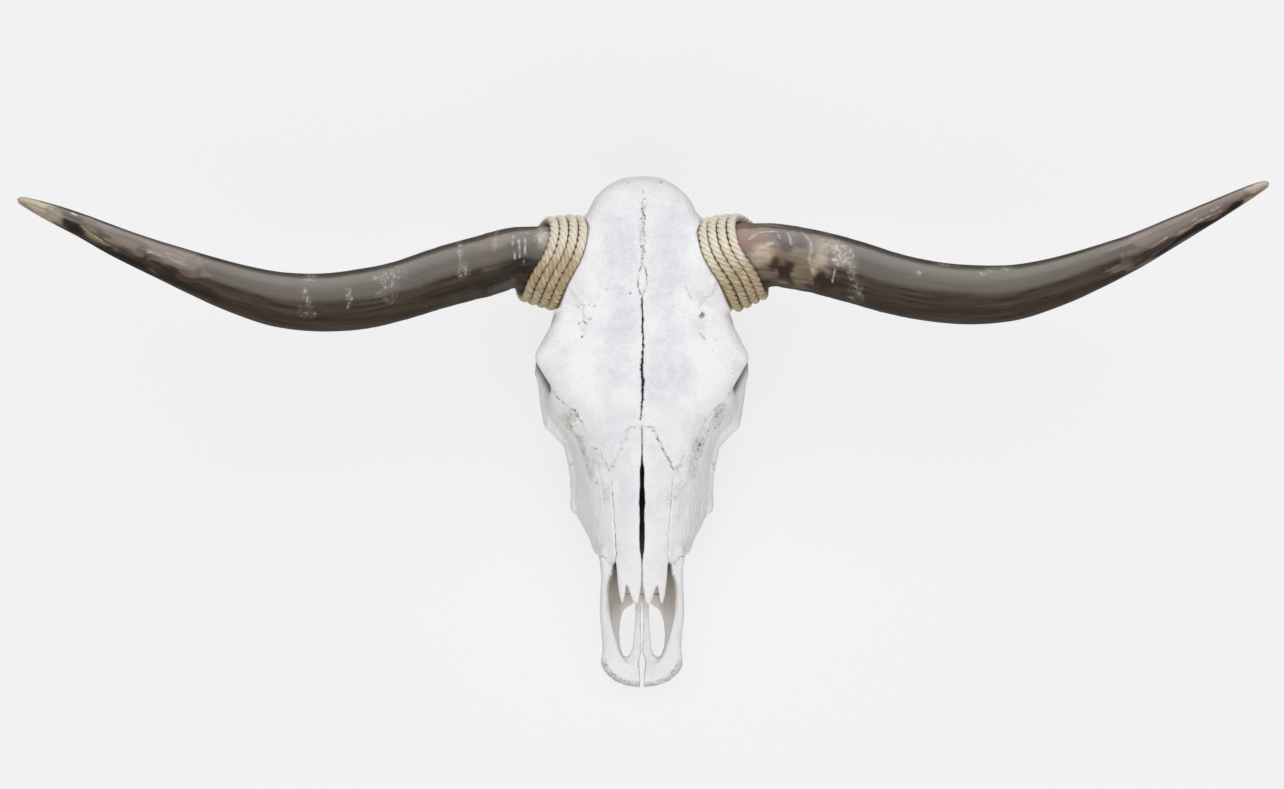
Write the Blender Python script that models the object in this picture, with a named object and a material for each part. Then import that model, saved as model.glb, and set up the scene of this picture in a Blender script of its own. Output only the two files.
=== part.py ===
"""Longhorn steer skull with rope-bound horns, life size, on its cheek teeth and its jugular processes.

Every size here is in millimetres. A place on the skull is (side, along, up): side from the midline to the
animal's own left (+X), along from the top of the poll to the muzzle, up from the flat of the forehead. The
bone is modelled like clay: masses are added and hollows carved in a field of distances, and its surface is
drawn where that distance is zero.
"""

import math

import bmesh
import bpy
import numpy as np
import openvdb
from mathutils import Vector

MM = 0.001

# ---- Driving dimensions -------------------------------------------------------------------------------
JUGULAR_TIP = (54, 56, -214)  # where the skull rests behind
FRONT_TOOTH_REST = (43, 388, -143.5)  # where it rests in front
ORBIT_CENTRE = (95, 200, -56)
ORBIT_AXIS = (0.84, 0.49, 0.23)  # the way the eye socket looks: sideways, forward and a little up
ORBIT_RADIUS = 22
NASAL_THICKNESS = 6
HORN_LEAN = math.radians(16)  # how far each horn leaves the skull towards the poll
HORN_RISE = {"left": math.radians(20), "right": math.radians(17)}  # and upwards
ROPE_DIAMETER = 9.2
ROPE_PITCH = 9.7
ROPE_TURNS = 4
SEAM = 0.4  # gap left between neighbouring bones, and between bone, horn and rope
HORN_SEAT = (54, 90)  # radius and length of the room cut out of the bone for the horn and its rope
BONE_ROUGHNESS = 0.6
HORN_ROUGHNESS = 0.35
ROPE_ROUGHNESS = 0.9

VOXEL = 2.0  # spacing of the field's points
BONE_TRIANGLES = 3900
HORN_SIDES = 16
HORN_RINGS = 15  # between the base's close-set rings and the tip
SEAT_SIDES = 32
ROPE_POINTS_PER_TURN = 16
ROPE_STEP_FROM = 0.7  # the share of a turn after which the rope steps over to the next one, under the horn
# How far the turns slide outwards round the horn, by the angle: 0 on top, 90 towards the muzzle.
ROPE_SLIDE = {
    "left": ((-180, 0), (-40, 0), (-10, 3.2), (8, 7.2), (24, 10.8), (42, 11.8), (62, 10), (85, 6),
             (120, 1), (180, 0)),
    "right": ((-180, 0), (-50, 0), (-27, 0.8), (-3, 3.4), (20, 7.6), (38, 9), (60, 7.4), (85, 3.6),
              (120, 0.5), (180, 0)),
}
SHEATH_ROOM = 43.2  # radius of the flat that a horn stands on
SEAT_SHARE = 0.85  # how much of the turns' slide the bone follows

# How the skull stands: the floor runs from the jugular processes to the front cheek teeth.
FLOOR_SLOPE = (FRONT_TOOTH_REST[2] - JUGULAR_TIP[2]) / (FRONT_TOOTH_REST[1] - JUGULAR_TIP[1])
FACE_TILT = math.atan(FLOOR_SLOPE)

# Half breadths of the braincase and face, like a boat's table of offsets: a row for each place along the
# skull, a column for each height.
HEIGHTS = (0, -10, -20, -35, -55, -75, -90, -105, -125, -145, -165, -185, -205)
HALF_BREADTHS = {
    0: (62, 64, 66, 64, 58, 56, 62, 74, 84, 78, 60, 42, 30),
    45: (62, 65, 66, 64, 59, 58, 66, 80, 90, 84, 62, 44, 30),
    80: (66, 70, 71, 68, 60, 57, 60, 66, 70, 62, 42, 28, 16),
    115: (72, 79, 81, 74, 58, 56, 58, 57, 52, 42, 30, 20, 10),
    150: (87, 92, 93, 81, 56, 48, 48, 46, 40, 33, 26, 16, 8),
    172: (98, 104, 105, 92, 58, 44, 44, 42, 38, 32, 26, 16, 8),
    187: (103, 110, 111, 101, 64, 42, 42, 42, 38, 33, 28, 18, 8),
    200: (98.5, 104.5, 106.5, 100, 68, 46, 44, 45, 42, 38, 30, 18, 8),
    216: (88, 95, 97.5, 95, 92, 88, 82, 66, 56, 48, 38, 20, 8),
    236: (78, 86, 92, 96, 99, 101, 98, 74, 62, 58, 45, 30, 20),
    254: (58, 68, 77, 84, 91, 95, 95, 80, 67, 62, 52, 40, 30),
    272: (42, 52, 61, 70, 77, 81, 82, 75, 68, 65, 60, 50, 40),
    300: (26, 43, 51, 60, 68, 72, 73, 70, 68, 66, 62, 56, 50),
    343: (16, 28, 36, 48, 59, 69, 73, 69, 66, 64, 60, 56, 50),
    372: (12, 24, 32, 44, 54, 59, 60, 58, 56, 56, 52, 48, 44),
    392: (8, 19, 28, 39, 46, 47, 47, 46, 47, 47, 45, 42, 40),
    412: (8, 16, 25, 37, 43, 44, 44, 43, 41, 38, 34, 30, 30),
}
# Heights of the upper surface from the forehead's flat, where it faces up: a column for each place.
SIDES = (0, 15, 30, 45, 60, 75, 90, 105)
TOP_HEIGHTS = {
    -10: (-40, -42, -50, -60, -70, -80, -90, -95),
    0: (-20, -22, -30, -42, -55, -65, -75, -80),
    10: (-9, -10, -15, -24, -38, -50, -60, -65),
    22: (-3, -3.5, -6, -12, -24, -38, -50, -60),
    40: (1, 0.5, -0.5, -4, -11, -20, -30, -40),
    80: (2, 1.5, 1, 0, 0, 1, 0, -5),
    120: (1, 0.5, 0, -1, -3, -6, -10, -16),
    160: (-1, -2, -2.5, -3, -3.5, -4, -7, -13),
    190: (-3, -4, -4.5, -5, -5, -5, -7, -12),
    215: (-4, -4.5, -5, -6, -6, -7, -12, -24),
    240: (-5, -5, -6, -7, -10, -17, -31, -52),
    270: (-6, -6, -8, -13, -20, -30, -44, -58),
    300: (-8, -9, -12, -19, -28, -38, -46, -54),
    345: (-13, -14, -18, -25, -34, -44, -50, -60),
    400: (-20, -22, -28, -36, -45, -55, -60, -60),
    447: (-28, -31, -38, -46, -55, -60, -60, -60),
}
# How far the back of the skull lies from the poll: a row for each height, a column for each place.
BACK_SIDES = (0, 15, 30, 40, 50, 60, 75, 95)
BACK_OF_SKULL = {
    -220: (48, 48, 48, 48, 49, 52, 58, 64),
    -170: (36, 36, 36, 37, 39, 42, 48, 58),
    -140: (27, 27, 28, 29, 32, 37, 45, 56),
    -105: (14, 14, 15, 17, 23, 33, 44, 56),
    -75: (8, 8, 10, 14, 22, 36, 50, 66),
    -45: (-2, -1, 4, 12, 24, 42, 56, 74),
    -20: (-6, -4, 2, 10, 21, 42, 58, 76),
    10: (2, 4, 10, 18, 30, 50, 62, 82),
}
BASE_OF_SKULL = ((0, -188), (50, -190), (110, -184), (150, -166), (185, -146), (215, -128), (262, -120),
                 (395, -112), (420, -106), (470, -101), (540, -103))
CHEEK_TEETH = (  # (half breadth at the middle, along, length, width) of the premolars and molars
    (44, 388, 15, 14), (48.5, 370, 18, 18), (52.5, 352, 18, 21), (55.5, 331, 23, 24), (57, 306, 26, 25),
    (56.5, 278, 29, 23),
)
# The muzzle: half breadth outside, half breadth of the open nose, height of its upper edge.
MUZZLE_OUTSIDE = ((380, 44), (400, 44), (420, 43.3), (440, 44.3), (465, 44.3), (485, 42.2), (500, 42),
                  (511, 43.6), (521, 40.5), (529, 33.5), (534, 26), (538, 14), (540.5, -4), (546, -30))
NOSE_OPENING = ((270, -8), (288, 8), (305, 19), (340, 25), (400, 27), (412, 29), (425, 33.5), (443, 34.5),
                (459, 33.5), (474, 31), (485, 27.5), (497, 22), (505, 10), (512, -8))
MUZZLE_EDGE = ((380, -30), (404, -38), (440, -52), (480, -68), (505, -80), (525, -87), (538, -92))
NOSE_FLOOR = ((280, -80), (340, -92), (440, -91), (500, -93), (540, -93))

# Outlines on the left half, (half breadth, along).
NASAL_OUTLINE = ((1, 258), (13, 259.5), (20, 276), (27.5, 292), (35, 305), (33, 341), (31, 368),
                 (29.3, 398), (27, 404), (24.5, 425), (22.5, 440), (20.5, 449), (18.3, 447), (17, 438),
                 (15.4, 427),
                 (13, 437), (10, 446), (6.5, 450), (3, 446), (0.6, 434))
NASAL_GAP = ((250, 0.3), (290, 0.4), (300, 1.2), (312, 1.8), (332, 2.5), (350, 2.2), (362, 1.6), (372, 2),
             (390, 1.2), (398, 0.3), (425, 0.3), (450, 1.6))
PREMAXILLA_SIDE = ((396, -36), (447, -47), (462, -15), (560, -15), (560, -140), (456, -140), (442, -96),
                   (397, -44))  # (along, up)

# Each horn's line, from the bone outwards: (side, along, up, radius).
HORN_LINES = {
    "left": (
        (79.5, 91.3, -36.7, 42.5), (84, 90, -35, 42.5), (111, 82.5, -26.5, 38), (128, 80, -21, 34.2),
        (165, 84.5, -9, 32.8), (217, 97.6, 2, 32.4), (258, 110.4, 11, 31.5), (298, 119, 19.5, 31),
        (339, 122.8, 27, 30.6), (380, 121, 34, 28.8), (420, 111.8, 42, 25.6), (460, 97.7, 50, 22.1),
        (500, 81.2, 59, 18.2), (539, 61.2, 68, 14.2), (578, 40.9, 78, 10.9), (610, 24, 87, 7.6),
        (623, 17.2, 90.8, 5.7), (629, 14.3, 92.5, 4.4), (634.4, 11.6, 94, 1),
    ),
    "right": (
        (-75.4, 89.3, -36.5, 42.3), (-80, 88, -35, 42.3), (-107.5, 84.9, -26.5, 37.4),
        (-127, 82.7, -20, 33), (-168, 92.9, -9, 32.1), (-210, 104.8, 1, 31.3), (-251, 118.4, 10, 30.4),
        (-291, 127.3, 18, 31),
        (-332, 130.8, 26, 29.9), (-372, 128.1, 33, 28.5), (-413, 118, 41, 25.7), (-453, 103.9, 49, 22.2),
        (-493, 88.4, 57, 18.5), (-532, 72, 66, 15.1), (-571, 53.6, 76, 11.7), (-605, 39.2, 86, 8.4),
        (-620, 33, 90.5, 5.8), (-626.5, 30.4, 92.5, 4.4), (-632, 28.2, 94.2, 1),
    ),
}

BONE_COLOUR = "#E6E3E0"
HORN_COLOUR = "#544A42"
ROPE_COLOUR = "#BFA878"


# ---- Curves and tables --------------------------------------------------------------------------------
def smooth(stations):
    """A smooth curve through (place, value) pairs, where a value may be a row of numbers."""
    places = np.array([place for place, _ in stations], float)
    values = np.array([value for _, value in stations], float)
    slopes = np.gradient(values, places, axis=0)

    def at(place):
        place = np.clip(np.asarray(place, float), places[0], places[-1])
        i = np.clip(np.searchsorted(places, place) - 1, 0, len(places) - 2)
        step = places[i + 1] - places[i]
        t = (place - places[i]) / step
        tail = (...,) + (None,) * (values.ndim - 1)
        t, step = t[tail], step[tail]
        bend = (t**3 - 2 * t**2 + t) * slopes[i] + (t**3 - t**2) * slopes[i + 1]
        return values[i] + (3 * t**2 - 2 * t**3) * (values[i + 1] - values[i]) + step * bend

    return at


def table(columns, rows):
    """A smooth surface through a table: values for places along the rows and across the columns."""
    along = smooth(tuple(rows.items()))

    def at(row_places, column_places):
        across = smooth(tuple(zip(columns, along(row_places).T)))
        return across(column_places).T

    return at


def steepness(grid, spacing):
    """How much longer a step straight along an axis is than the shortest way to the surface."""
    rise, run = np.gradient(grid, spacing)
    return np.sqrt(1 + rise**2 + run**2)


# ---- Clay: a field of distances -----------------------------------------------------------------------
class Clay:
    """Distances to a body's surface, negative inside, on a grid over the left half of the skull."""

    def __init__(self, low, high, spacing):
        self.spacing = spacing
        self.axes = [np.arange(a, b + spacing, spacing) for a, b in zip(low, high)]
        self.field = np.full([len(axis) for axis in self.axes], 60.0, np.float32)

    def window(self, low, high):
        """The part of the grid inside a box: its slices, and its coordinates side by side."""
        ends = [np.searchsorted(axis, (a, b)) for axis, a, b in zip(self.axes, low, high)]
        cut = tuple(slice(a, b) for a, b in ends)
        axes = [axis[part] for axis, part in zip(self.axes, cut)]
        grids = np.meshgrid(*axes, indexing="ij", sparse=True)
        return cut, [grid.astype(np.float32) for grid in grids]

    def add(self, shape, blend=6.0):
        low, high, distance = shape
        cut, place = self.window(np.array(low) - 2 * blend, np.array(high) + 2 * blend)
        self.field[cut] = joined(self.field[cut], distance(*place), blend)

    def carve(self, shape, blend=3.0):
        low, high, distance = shape
        cut, place = self.window(np.array(low) - 2 * blend, np.array(high) + 2 * blend)
        self.field[cut] = -joined(-self.field[cut], distance(*place), blend)

    def surface(self):
        """The points and faces of the whole surface, with the left half mirrored to the right."""
        whole = np.concatenate((self.field[:0:-1], self.field))
        reach = 4 * self.spacing
        grid = openvdb.FloatGrid(reach)
        grid.copyFromArray(np.clip(whole, -reach, reach))
        points, _, quads = grid.convertToPolygons(isovalue=0.0, adaptivity=0.0)
        corner = np.array([-self.axes[0][-1], self.axes[1][0], self.axes[2][0]])
        return points * self.spacing + corner, quads


def joined(a, b, blend):
    """The nearer of two distances, with a fillet where they are alike."""
    return np.minimum(a, b) - np.maximum(blend - np.abs(a - b), 0) ** 2 / (4 * blend)


def within(*distances, blend=4.0):
    """What lies inside every one of several surfaces."""
    inside = -distances[0]
    for distance in distances[1:]:
        inside = joined(inside, -distance, blend)
    return -inside


def ball(centre, radii):
    centre, radii = np.array(centre, float), np.array(radii, float)

    def distance(*place):
        near = sum(((p - c) / r) ** 2 for p, c, r in zip(place, centre, radii)) ** 0.5
        far = sum(((p - c) / r**2) ** 2 for p, c, r in zip(place, centre, radii)) ** 0.5
        return near * (near - 1) / np.maximum(far, 1e-6)

    return centre - radii, centre + radii, distance


def rod(*stations, flat=1.0):
    """A chain of tapering rods through (side, along, up, radius); flat squeezes it sideways."""
    stations = np.array(stations, float)
    reach = stations[:, 3].max()

    def distance(*place):
        nearest = None
        for (start, r0), (end, r1) in zip(
            [(s[:3], s[3]) for s in stations], [(s[:3], s[3]) for s in stations[1:]]
        ):
            way = end - start
            offset = [p - c for p, c in zip(place, start)]
            t = np.clip(sum(o * w for o, w in zip(offset, way)) / way.dot(way), 0, 1)
            apart = [o - t * w for o, w in zip(offset, way)]
            gap = np.sqrt((apart[0] / flat) ** 2 + apart[1] ** 2 + apart[2] ** 2) - (r0 + t * (r1 - r0))
            nearest = gap if nearest is None else np.minimum(nearest, gap)
        return nearest

    return stations[:, :3].min(0) - reach, stations[:, :3].max(0) + reach, distance


def block(centre, size, rounding):
    centre, half = np.array(centre, float), np.array(size, float) / 2

    def distance(*place):
        beyond = [np.abs(p - c) - (h - rounding) for p, c, h in zip(place, centre, half)]
        outside = sum(np.maximum(b, 0) ** 2 for b in beyond) ** 0.5
        return outside + np.minimum(np.maximum(np.maximum(beyond[0], beyond[1]), beyond[2]), 0) - rounding

    return centre - half, centre + half, distance


# ---- The bones ----------------------------------------------------------------------------------------
def add_main_mass(clay):
    """Forehead, braincase, occiput and upper jaws, from the tables of offsets."""
    sides, alongs, ups = clay.axes
    breadth = table(HEIGHTS[::-1], {k: v[::-1] for k, v in HALF_BREADTHS.items()})(alongs, ups)
    top = table(SIDES, TOP_HEIGHTS)(alongs, sides).T
    back = table(BACK_SIDES, BACK_OF_SKULL)(ups, sides).T
    base = smooth(BASE_OF_SKULL)(alongs)
    side, along, up = np.meshgrid(sides, alongs, ups, indexing="ij", sparse=True)
    beside = (side - breadth[None]) / steepness(breadth, clay.spacing)[None]
    above = (up - top[:, :, None]) / steepness(top, clay.spacing)[:, :, None]
    behind = (back[:, None, :] - along) / steepness(back, clay.spacing)[:, None, :]
    below = base[None, :, None] - up
    ahead = along - 404
    body = within(beside, above, behind, below, ahead, blend=9.0)
    clay.field = np.minimum(clay.field, body.astype(np.float32))


def add_muzzle(clay):
    """The two premaxillae as one mass: side bars, body and floor of the nose."""
    sides, alongs, ups = clay.axes
    side, along, up = np.meshgrid(sides, alongs, ups, indexing="ij", sparse=True)
    outside = smooth(MUZZLE_OUTSIDE)(alongs)
    edge = smooth(MUZZLE_EDGE)(alongs)
    base = smooth(BASE_OF_SKULL)(alongs)
    grade = np.sqrt(1 + np.gradient(outside, clay.spacing) ** 2)
    body = within(
        (side - outside[None, :, None]) / grade[None, :, None], up - edge[None, :, None],
        base[None, :, None] - up, 385 - along, blend=7.0,
    )
    clay.field = joined(clay.field, body.astype(np.float32), 4.0)


def carve_nose(clay):
    """The nasal cavity, which opens in front and through the gap between the nasal bones."""
    sides, alongs, ups = clay.axes
    side, along, up = np.meshgrid(sides, alongs, ups, indexing="ij", sparse=True)
    roof = table(SIDES, TOP_HEIGHTS)(alongs, sides).T - NASAL_THICKNESS
    roof[:, alongs > 404] = 60
    edge = smooth(MUZZLE_EDGE)(alongs)[None, :, None]
    opening = smooth(NOSE_OPENING)(alongs)[None, :, None] - 0.42 * np.clip(edge - up - 6, 0, 60)
    grade = np.sqrt(1 + np.gradient(smooth(NOSE_OPENING)(alongs), clay.spacing) ** 2)[None, :, None]
    floor = smooth(NOSE_FLOOR)(alongs)[None, :, None]
    hollow = within((side - opening) / grade, up - roof[:, :, None], floor - up, blend=5.0)
    clay.field = -joined(-clay.field, hollow.astype(np.float32), 2.0)


def add_nasal_roof(clay):
    """The free ends of the nasal bones, out over the open nose."""
    sides, alongs, ups = clay.axes
    side, along, up = np.meshgrid(sides, alongs, ups, indexing="ij", sparse=True)
    top = table(SIDES, TOP_HEIGHTS)(alongs, sides).T
    outline = outline_distance(NASAL_OUTLINE[1:], sides, alongs)[:, :, None]
    sheet = np.abs(up - top[:, :, None] + NASAL_THICKNESS / 2) - NASAL_THICKNESS / 2
    roof = within(sheet, outline, 396 - along, blend=2.5)
    clay.field = joined(clay.field, roof.astype(np.float32), 1.0)


def outline_distance(outline, sides, alongs):
    """Distance to a closed outline seen from above, negative inside, on the grid of sides and alongs."""
    side, along = np.meshgrid(sides, alongs, indexing="ij")
    nearest = np.full(side.shape, 1e6)
    inside = np.zeros(side.shape, bool)
    points = np.array(((0.0, outline[0][1]),) + tuple(outline) + ((0.0, outline[-1][1]),), float)
    for (x0, y0), (x1, y1) in zip(points, np.roll(points, -1, axis=0)):
        way = np.array((x1 - x0, y1 - y0))
        t = np.clip(((side - x0) * way[0] + (along - y0) * way[1]) / max(way.dot(way), 1e-9), 0, 1)
        nearest = np.minimum(nearest, np.hypot(side - x0 - t * way[0], along - y0 - t * way[1]))
        crosses = (y0 > along) != (y1 > along)
        reach = x0 + (along - y0) / (y1 - y0 if y1 != y0 else 1e-9) * (x1 - x0)
        inside ^= crosses & (side < reach)
    return np.where(inside, -nearest, nearest)


def add_horn_core(clay):
    clay.add(rod((46, 84, -40, 36), (70, 89, -38, 43.5), (100, 86, -28, 41)), blend=16)
    clay.add(rod((66, 106, -34, 36), (96, 102, -26, 35)), blend=10)


def add_orbit(clay):
    """The bony ring round the eye, and the socket inside it."""
    centre, axis = np.array(ORBIT_CENTRE, float), np.array(ORBIT_AXIS)
    axis = axis / np.linalg.norm(axis)
    across = np.cross(axis, (0, 0, 1))
    across = across / np.linalg.norm(across)
    upright = np.cross(across, axis)
    ring = []
    for angle in np.linspace(0.45 * math.pi, 1.55 * math.pi, 9):
        spoke = math.cos(angle) * across + math.sin(angle) * upright
        ring.append((*(centre + (ORBIT_RADIUS + 4.5) * spoke - 2 * axis), 5.0))
    clay.add(rod(*ring), blend=9)
    clay.carve(
        rod((*(centre + 14 * axis), ORBIT_RADIUS), (*(centre - 2 * axis), ORBIT_RADIUS),
            (70, 200, -54, 19), (48, 190, -60, 11)),
        blend=3,
    )


def add_cheek_arch(clay):
    """Zygomatic arch, from the jaw joint to the facial tuberosity."""
    clay.add(rod((74, 98, -122, 11), (84, 122, -118, 9), (92, 150, -112, 9), (100, 178, -106, 9.5),
                 (106, 203, -98, 10), flat=0.6), blend=9)
    clay.add(rod((106, 203, -98, 9), (102, 232, -92, 10), (97, 254, -86, 11), (86, 266, -85, 10),
                 (77, 280, -84, 8), (71.5, 312, -86, 7), (70, 343, -86, 6), flat=0.7), blend=7)
    clay.add(ball((69.5, 344, -89), (5, 12, 8)), blend=10)
    brow = ((76, 138, -13, 7), (85, 161, -14, 7), (92.5, 174, -15, 7), (101.5, 188.5, -17, 6.5))
    clay.add(rod(*brow), blend=6)
    clay.add(rod((100, 184, -22, 6), (104, 186, -50, 6.5), (102, 192, -92, 8), flat=0.75), blend=8)


def add_teeth(clay):
    """The sockets' ridge and the cheek teeth that stand in it, cut level by the floor afterwards."""
    ridge = ((44, 390, -120, 9), (50, 362, -122, 12), (55, 325, -126, 14), (56, 275, -132, 14))
    clay.add(rod(*ridge), blend=9)
    for side, along, length, width in CHEEK_TEETH:
        clay.add(block((side, along, -150), (width, length - 1, 90), 4.0), blend=1.5)


def add_skull_base(clay):
    """Condyles, jugular processes, ear bullae, jaw joints and the floor of the braincase."""
    clay.add(ball((27, 37, -173), (17, 23, 25)), blend=6)
    clay.add(rod((62, 56, -150, 15), (58, 57, -185, 9), (54, 56, -222, 5), flat=0.7), blend=8)
    clay.add(rod((0, 52, -180, 18), (0, 120, -176, 13), (0, 175, -158, 9)), blend=8)
    clay.add(ball((14, 82, -186), (8, 12, 8)), blend=5)
    clay.add(ball((40, 92, -178), (12, 21, 19)), blend=6)
    clay.add(ball((76, 102, -128), (17, 15, 10)), blend=8)
    clay.add(rod((20, 178, -149, 14), (22, 215, -143, 14), (25, 262, -137, 14), flat=0.33), blend=6)
    clay.carve(rod((0, -20, -158, 16), (0, 40, -158, 16), (0, 80, -150, 13)), blend=4)
    clay.carve(rod((0, 196, -170, 11), (0, 225, -150, 13), (0, 262, -136, 13)), blend=5)


def carve_muzzle(clay):
    """Palatine fissures and the slit between the premaxillae."""
    sides, alongs, ups = clay.axes
    side, along, up = np.meshgrid(sides, alongs, ups, indexing="ij", sparse=True)
    line = ((448, -4), (455, 3.2), (468, 6.3), (485, 7.2), (497, 6.6), (504, 4.6), (510, -4))
    fissure = smooth(line)(alongs)
    middle = smooth(((448, 13), (470, 15.2), (510, 16.5)))(alongs)
    hole = np.abs(side - middle[None, :, None]) - fissure[None, :, None]
    hole = within(hole, np.abs(up + 95) - 30, blend=2.0)
    clay.field = -joined(-clay.field, hole.astype(np.float32), 1.5)
    slit = smooth(((446, 0.7), (500, 0.9), (506, 1.4), (514, 3.6), (522, 1.8), (546, 1.8)))(alongs)
    gap = within(side - slit[None, :, None], 447 - along, np.abs(up + 95) - 30, blend=1.0)
    clay.field = np.maximum(clay.field, -gap.astype(np.float32))


def skull_clay():
    clay = Clay((0, -14, -226), (124, 550, 18), VOXEL)
    add_main_mass(clay)
    add_horn_core(clay)
    add_skull_base(clay)
    add_cheek_arch(clay)
    add_orbit(clay)
    add_teeth(clay)
    add_muzzle(clay)
    carve_nose(clay)
    carve_muzzle(clay)
    add_nasal_roof(clay)
    return clay


# ---- From clay to Blender objects ---------------------------------------------------------------------
def to_blender(point):
    """A place on the skull in Blender's metres: the muzzle points along -Y."""
    return Vector((point[0], -point[1], point[2])) * MM


def linear(colour):
    """An sRGB hex colour as the linear RGBA that a shader takes."""
    channels = (int(colour[i : i + 2], 16) / 255 for i in (1, 3, 5))
    return tuple(c / 12.92 if c <= 0.04045 else ((c + 0.055) / 1.055) ** 2.4 for c in channels) + (1.0,)


def material(name, colour, roughness):
    made = bpy.data.materials.new(name)
    made.use_nodes = True
    shader = made.node_tree.nodes["Principled BSDF"]
    shader.inputs["Base Color"].default_value = linear(colour)
    shader.inputs["Roughness"].default_value = roughness
    shader.inputs["Metallic"].default_value = 0.0
    return made


def new_object(name, mesh, parent, colour, roughness):
    made = bpy.data.objects.new(name, mesh)
    bpy.context.scene.collection.objects.link(made)
    made.parent = parent
    mesh.materials.clear()
    mesh.materials.append(material(name, colour, roughness))
    return made


def baked(made):
    """The object's mesh as its modifiers leave it, and the object itself is removed."""
    graph = bpy.context.evaluated_depsgraph_get()
    mesh = bpy.data.meshes.new_from_object(made.evaluated_get(graph))
    bpy.data.objects.remove(made)
    return mesh


def rough_bone():
    """The whole skull as one mesh of few triangles, cut level at the floor."""
    points, quads = skull_clay().surface()
    mesh = bpy.data.meshes.new("bone")
    mesh.from_pydata([to_blender(point) for point in points], [], quads.tolist())
    rough = bpy.data.objects.new("bone", mesh)
    bpy.context.scene.collection.objects.link(rough)
    thin = rough.modifiers.new("few_triangles", "DECIMATE")
    thin.ratio = BONE_TRIANGLES / (2 * len(quads))
    thin.use_collapse_triangulate = True
    mesh = baked(rough)
    work = bmesh.new()
    work.from_mesh(mesh)
    cut_flat(work, to_blender(JUGULAR_TIP), Vector((0, -math.sin(FACE_TILT), -math.cos(FACE_TILT))))
    bmesh.ops.recalc_face_normals(work, faces=work.faces)
    work.to_mesh(mesh)
    work.free()
    return mesh


def cut_flat(work, point, normal):
    """Removes what lies beyond a plane and closes the cut."""
    geometry = work.verts[:] + work.edges[:] + work.faces[:]
    cut = bmesh.ops.bisect_plane(work, geom=geometry, plane_co=point, plane_no=normal, clear_outer=True)
    edges = [item for item in cut["geom_cut"] if isinstance(item, bmesh.types.BMEdge)]
    filled = bmesh.ops.holes_fill(work, edges=edges)
    bmesh.ops.triangulate(work, faces=filled["faces"])


def nasal_punch(name, hand, grow):
    """A cutter in the shape of one nasal bone: its outline seen from above, and its under side inside."""
    top = table(SIDES, TOP_HEIGHTS)
    gap = smooth(NASAL_GAP)
    alongs = np.concatenate((np.linspace(258, 300, 6), np.linspace(312, 452, 11)))
    outer = [p for p in NASAL_OUTLINE if p[1] >= 258][1:12]
    edge_x = [p[0] for p in outer]
    edge_y = [p[1] for p in outer]
    work = bmesh.new()
    layers = []
    for lift in (0, 1):
        rows = []
        for along in alongs:
            inner = -0.2 if grow else max(float(gap(along)), 0.3)
            outside = float(np.interp(along, edge_y, edge_x)) + (1.5 if along > 415 else 0) + grow
            row = []
            for share in np.linspace(0, 1, 4):
                side = inner + share * (outside - inner)
                height = 20
                if not lift:
                    depth = NASAL_THICKNESS + grow + (2 if along > 404 else 0)
                    height = float(top(np.array([along]), np.array([side]))[0, 0]) - depth
                start = along - grow if along == alongs[0] else along
                row.append(work.verts.new(to_blender((hand * side, start, height))))
            rows.append(row)
        layers.append(rows)
    shell(work, layers)
    return cutter(name, work)


def shell(work, layers):
    """Closes two grids of vertices, one over the other, into a block."""
    low, high = layers
    for grid in layers:
        for row, following in zip(grid, grid[1:]):
            for i in range(len(row) - 1):
                work.faces.new((row[i], row[i + 1], following[i + 1], following[i]))
    for a, b in ((low[0], high[0]), (low[-1], high[-1])):
        for i in range(len(a) - 1):
            work.faces.new((a[i], a[i + 1], b[i + 1], b[i]))
    for i in range(len(low) - 1):
        for j in (0, -1):
            work.faces.new((low[i][j], low[i + 1][j], high[i + 1][j], high[i][j]))


def premaxilla_punch(name, hand, grow):
    """A cutter for one premaxilla: its side view as an outline, run across half the muzzle."""
    outline = np.array(PREMAXILLA_SIDE, float)
    outline[[0, 1, -1, -2, -3]] += grow * np.array(((-1, 0.3), (-0.3, 1), (-1, 0), (-1, 0), (-1, 0)))
    work = bmesh.new()
    rings = []
    for side in (max(0.5 - grow, 0.1), 70):
        rings.append([work.verts.new(to_blender((hand * side, along, up))) for along, up in outline])
    work.faces.new(rings[0])
    work.faces.new(rings[1])
    for i in range(len(outline)):
        j = (i + 1) % len(outline)
        work.faces.new((rings[0][i], rings[0][j], rings[1][j], rings[1][i]))
    return cutter(name, work)


def horn_seat(name, hand):
    """A cutter that makes room for a horn and its rope: flat where the horn stands, and raised round it
    where the turns slide outwards."""
    line, length = horn_curve(hand)
    centre, _, first, second = horn_ring(hand, line, length, 0.0)
    radius, depth = HORN_SEAT
    work = bmesh.new()
    rings = [[], [], [], []]
    for angle in np.linspace(0, 2 * math.pi, SEAT_SIDES, endpoint=False):
        spoke = math.cos(angle) * first + math.sin(angle) * second
        raised = SEAT_SHARE * rope_slide(hand, angle) + 0.1
        profile = ((SHEATH_ROOM, 0), (SHEATH_ROOM + 0.4, raised), (radius, raised), (radius, depth))
        for ring, (away, height) in zip(rings, profile):
            place = centre + away * spoke + (height - SEAM) * horn_normal(hand)
            ring.append(work.verts.new(to_blender(place)))
    for ring, following in zip(rings, rings[1:]):
        for i in range(SEAT_SIDES):
            j = (i + 1) % SEAT_SIDES
            work.faces.new((ring[i], ring[j], following[j], following[i]))
    work.faces.new(rings[0])
    work.faces.new(rings[-1])
    return cutter(name, work)


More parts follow.
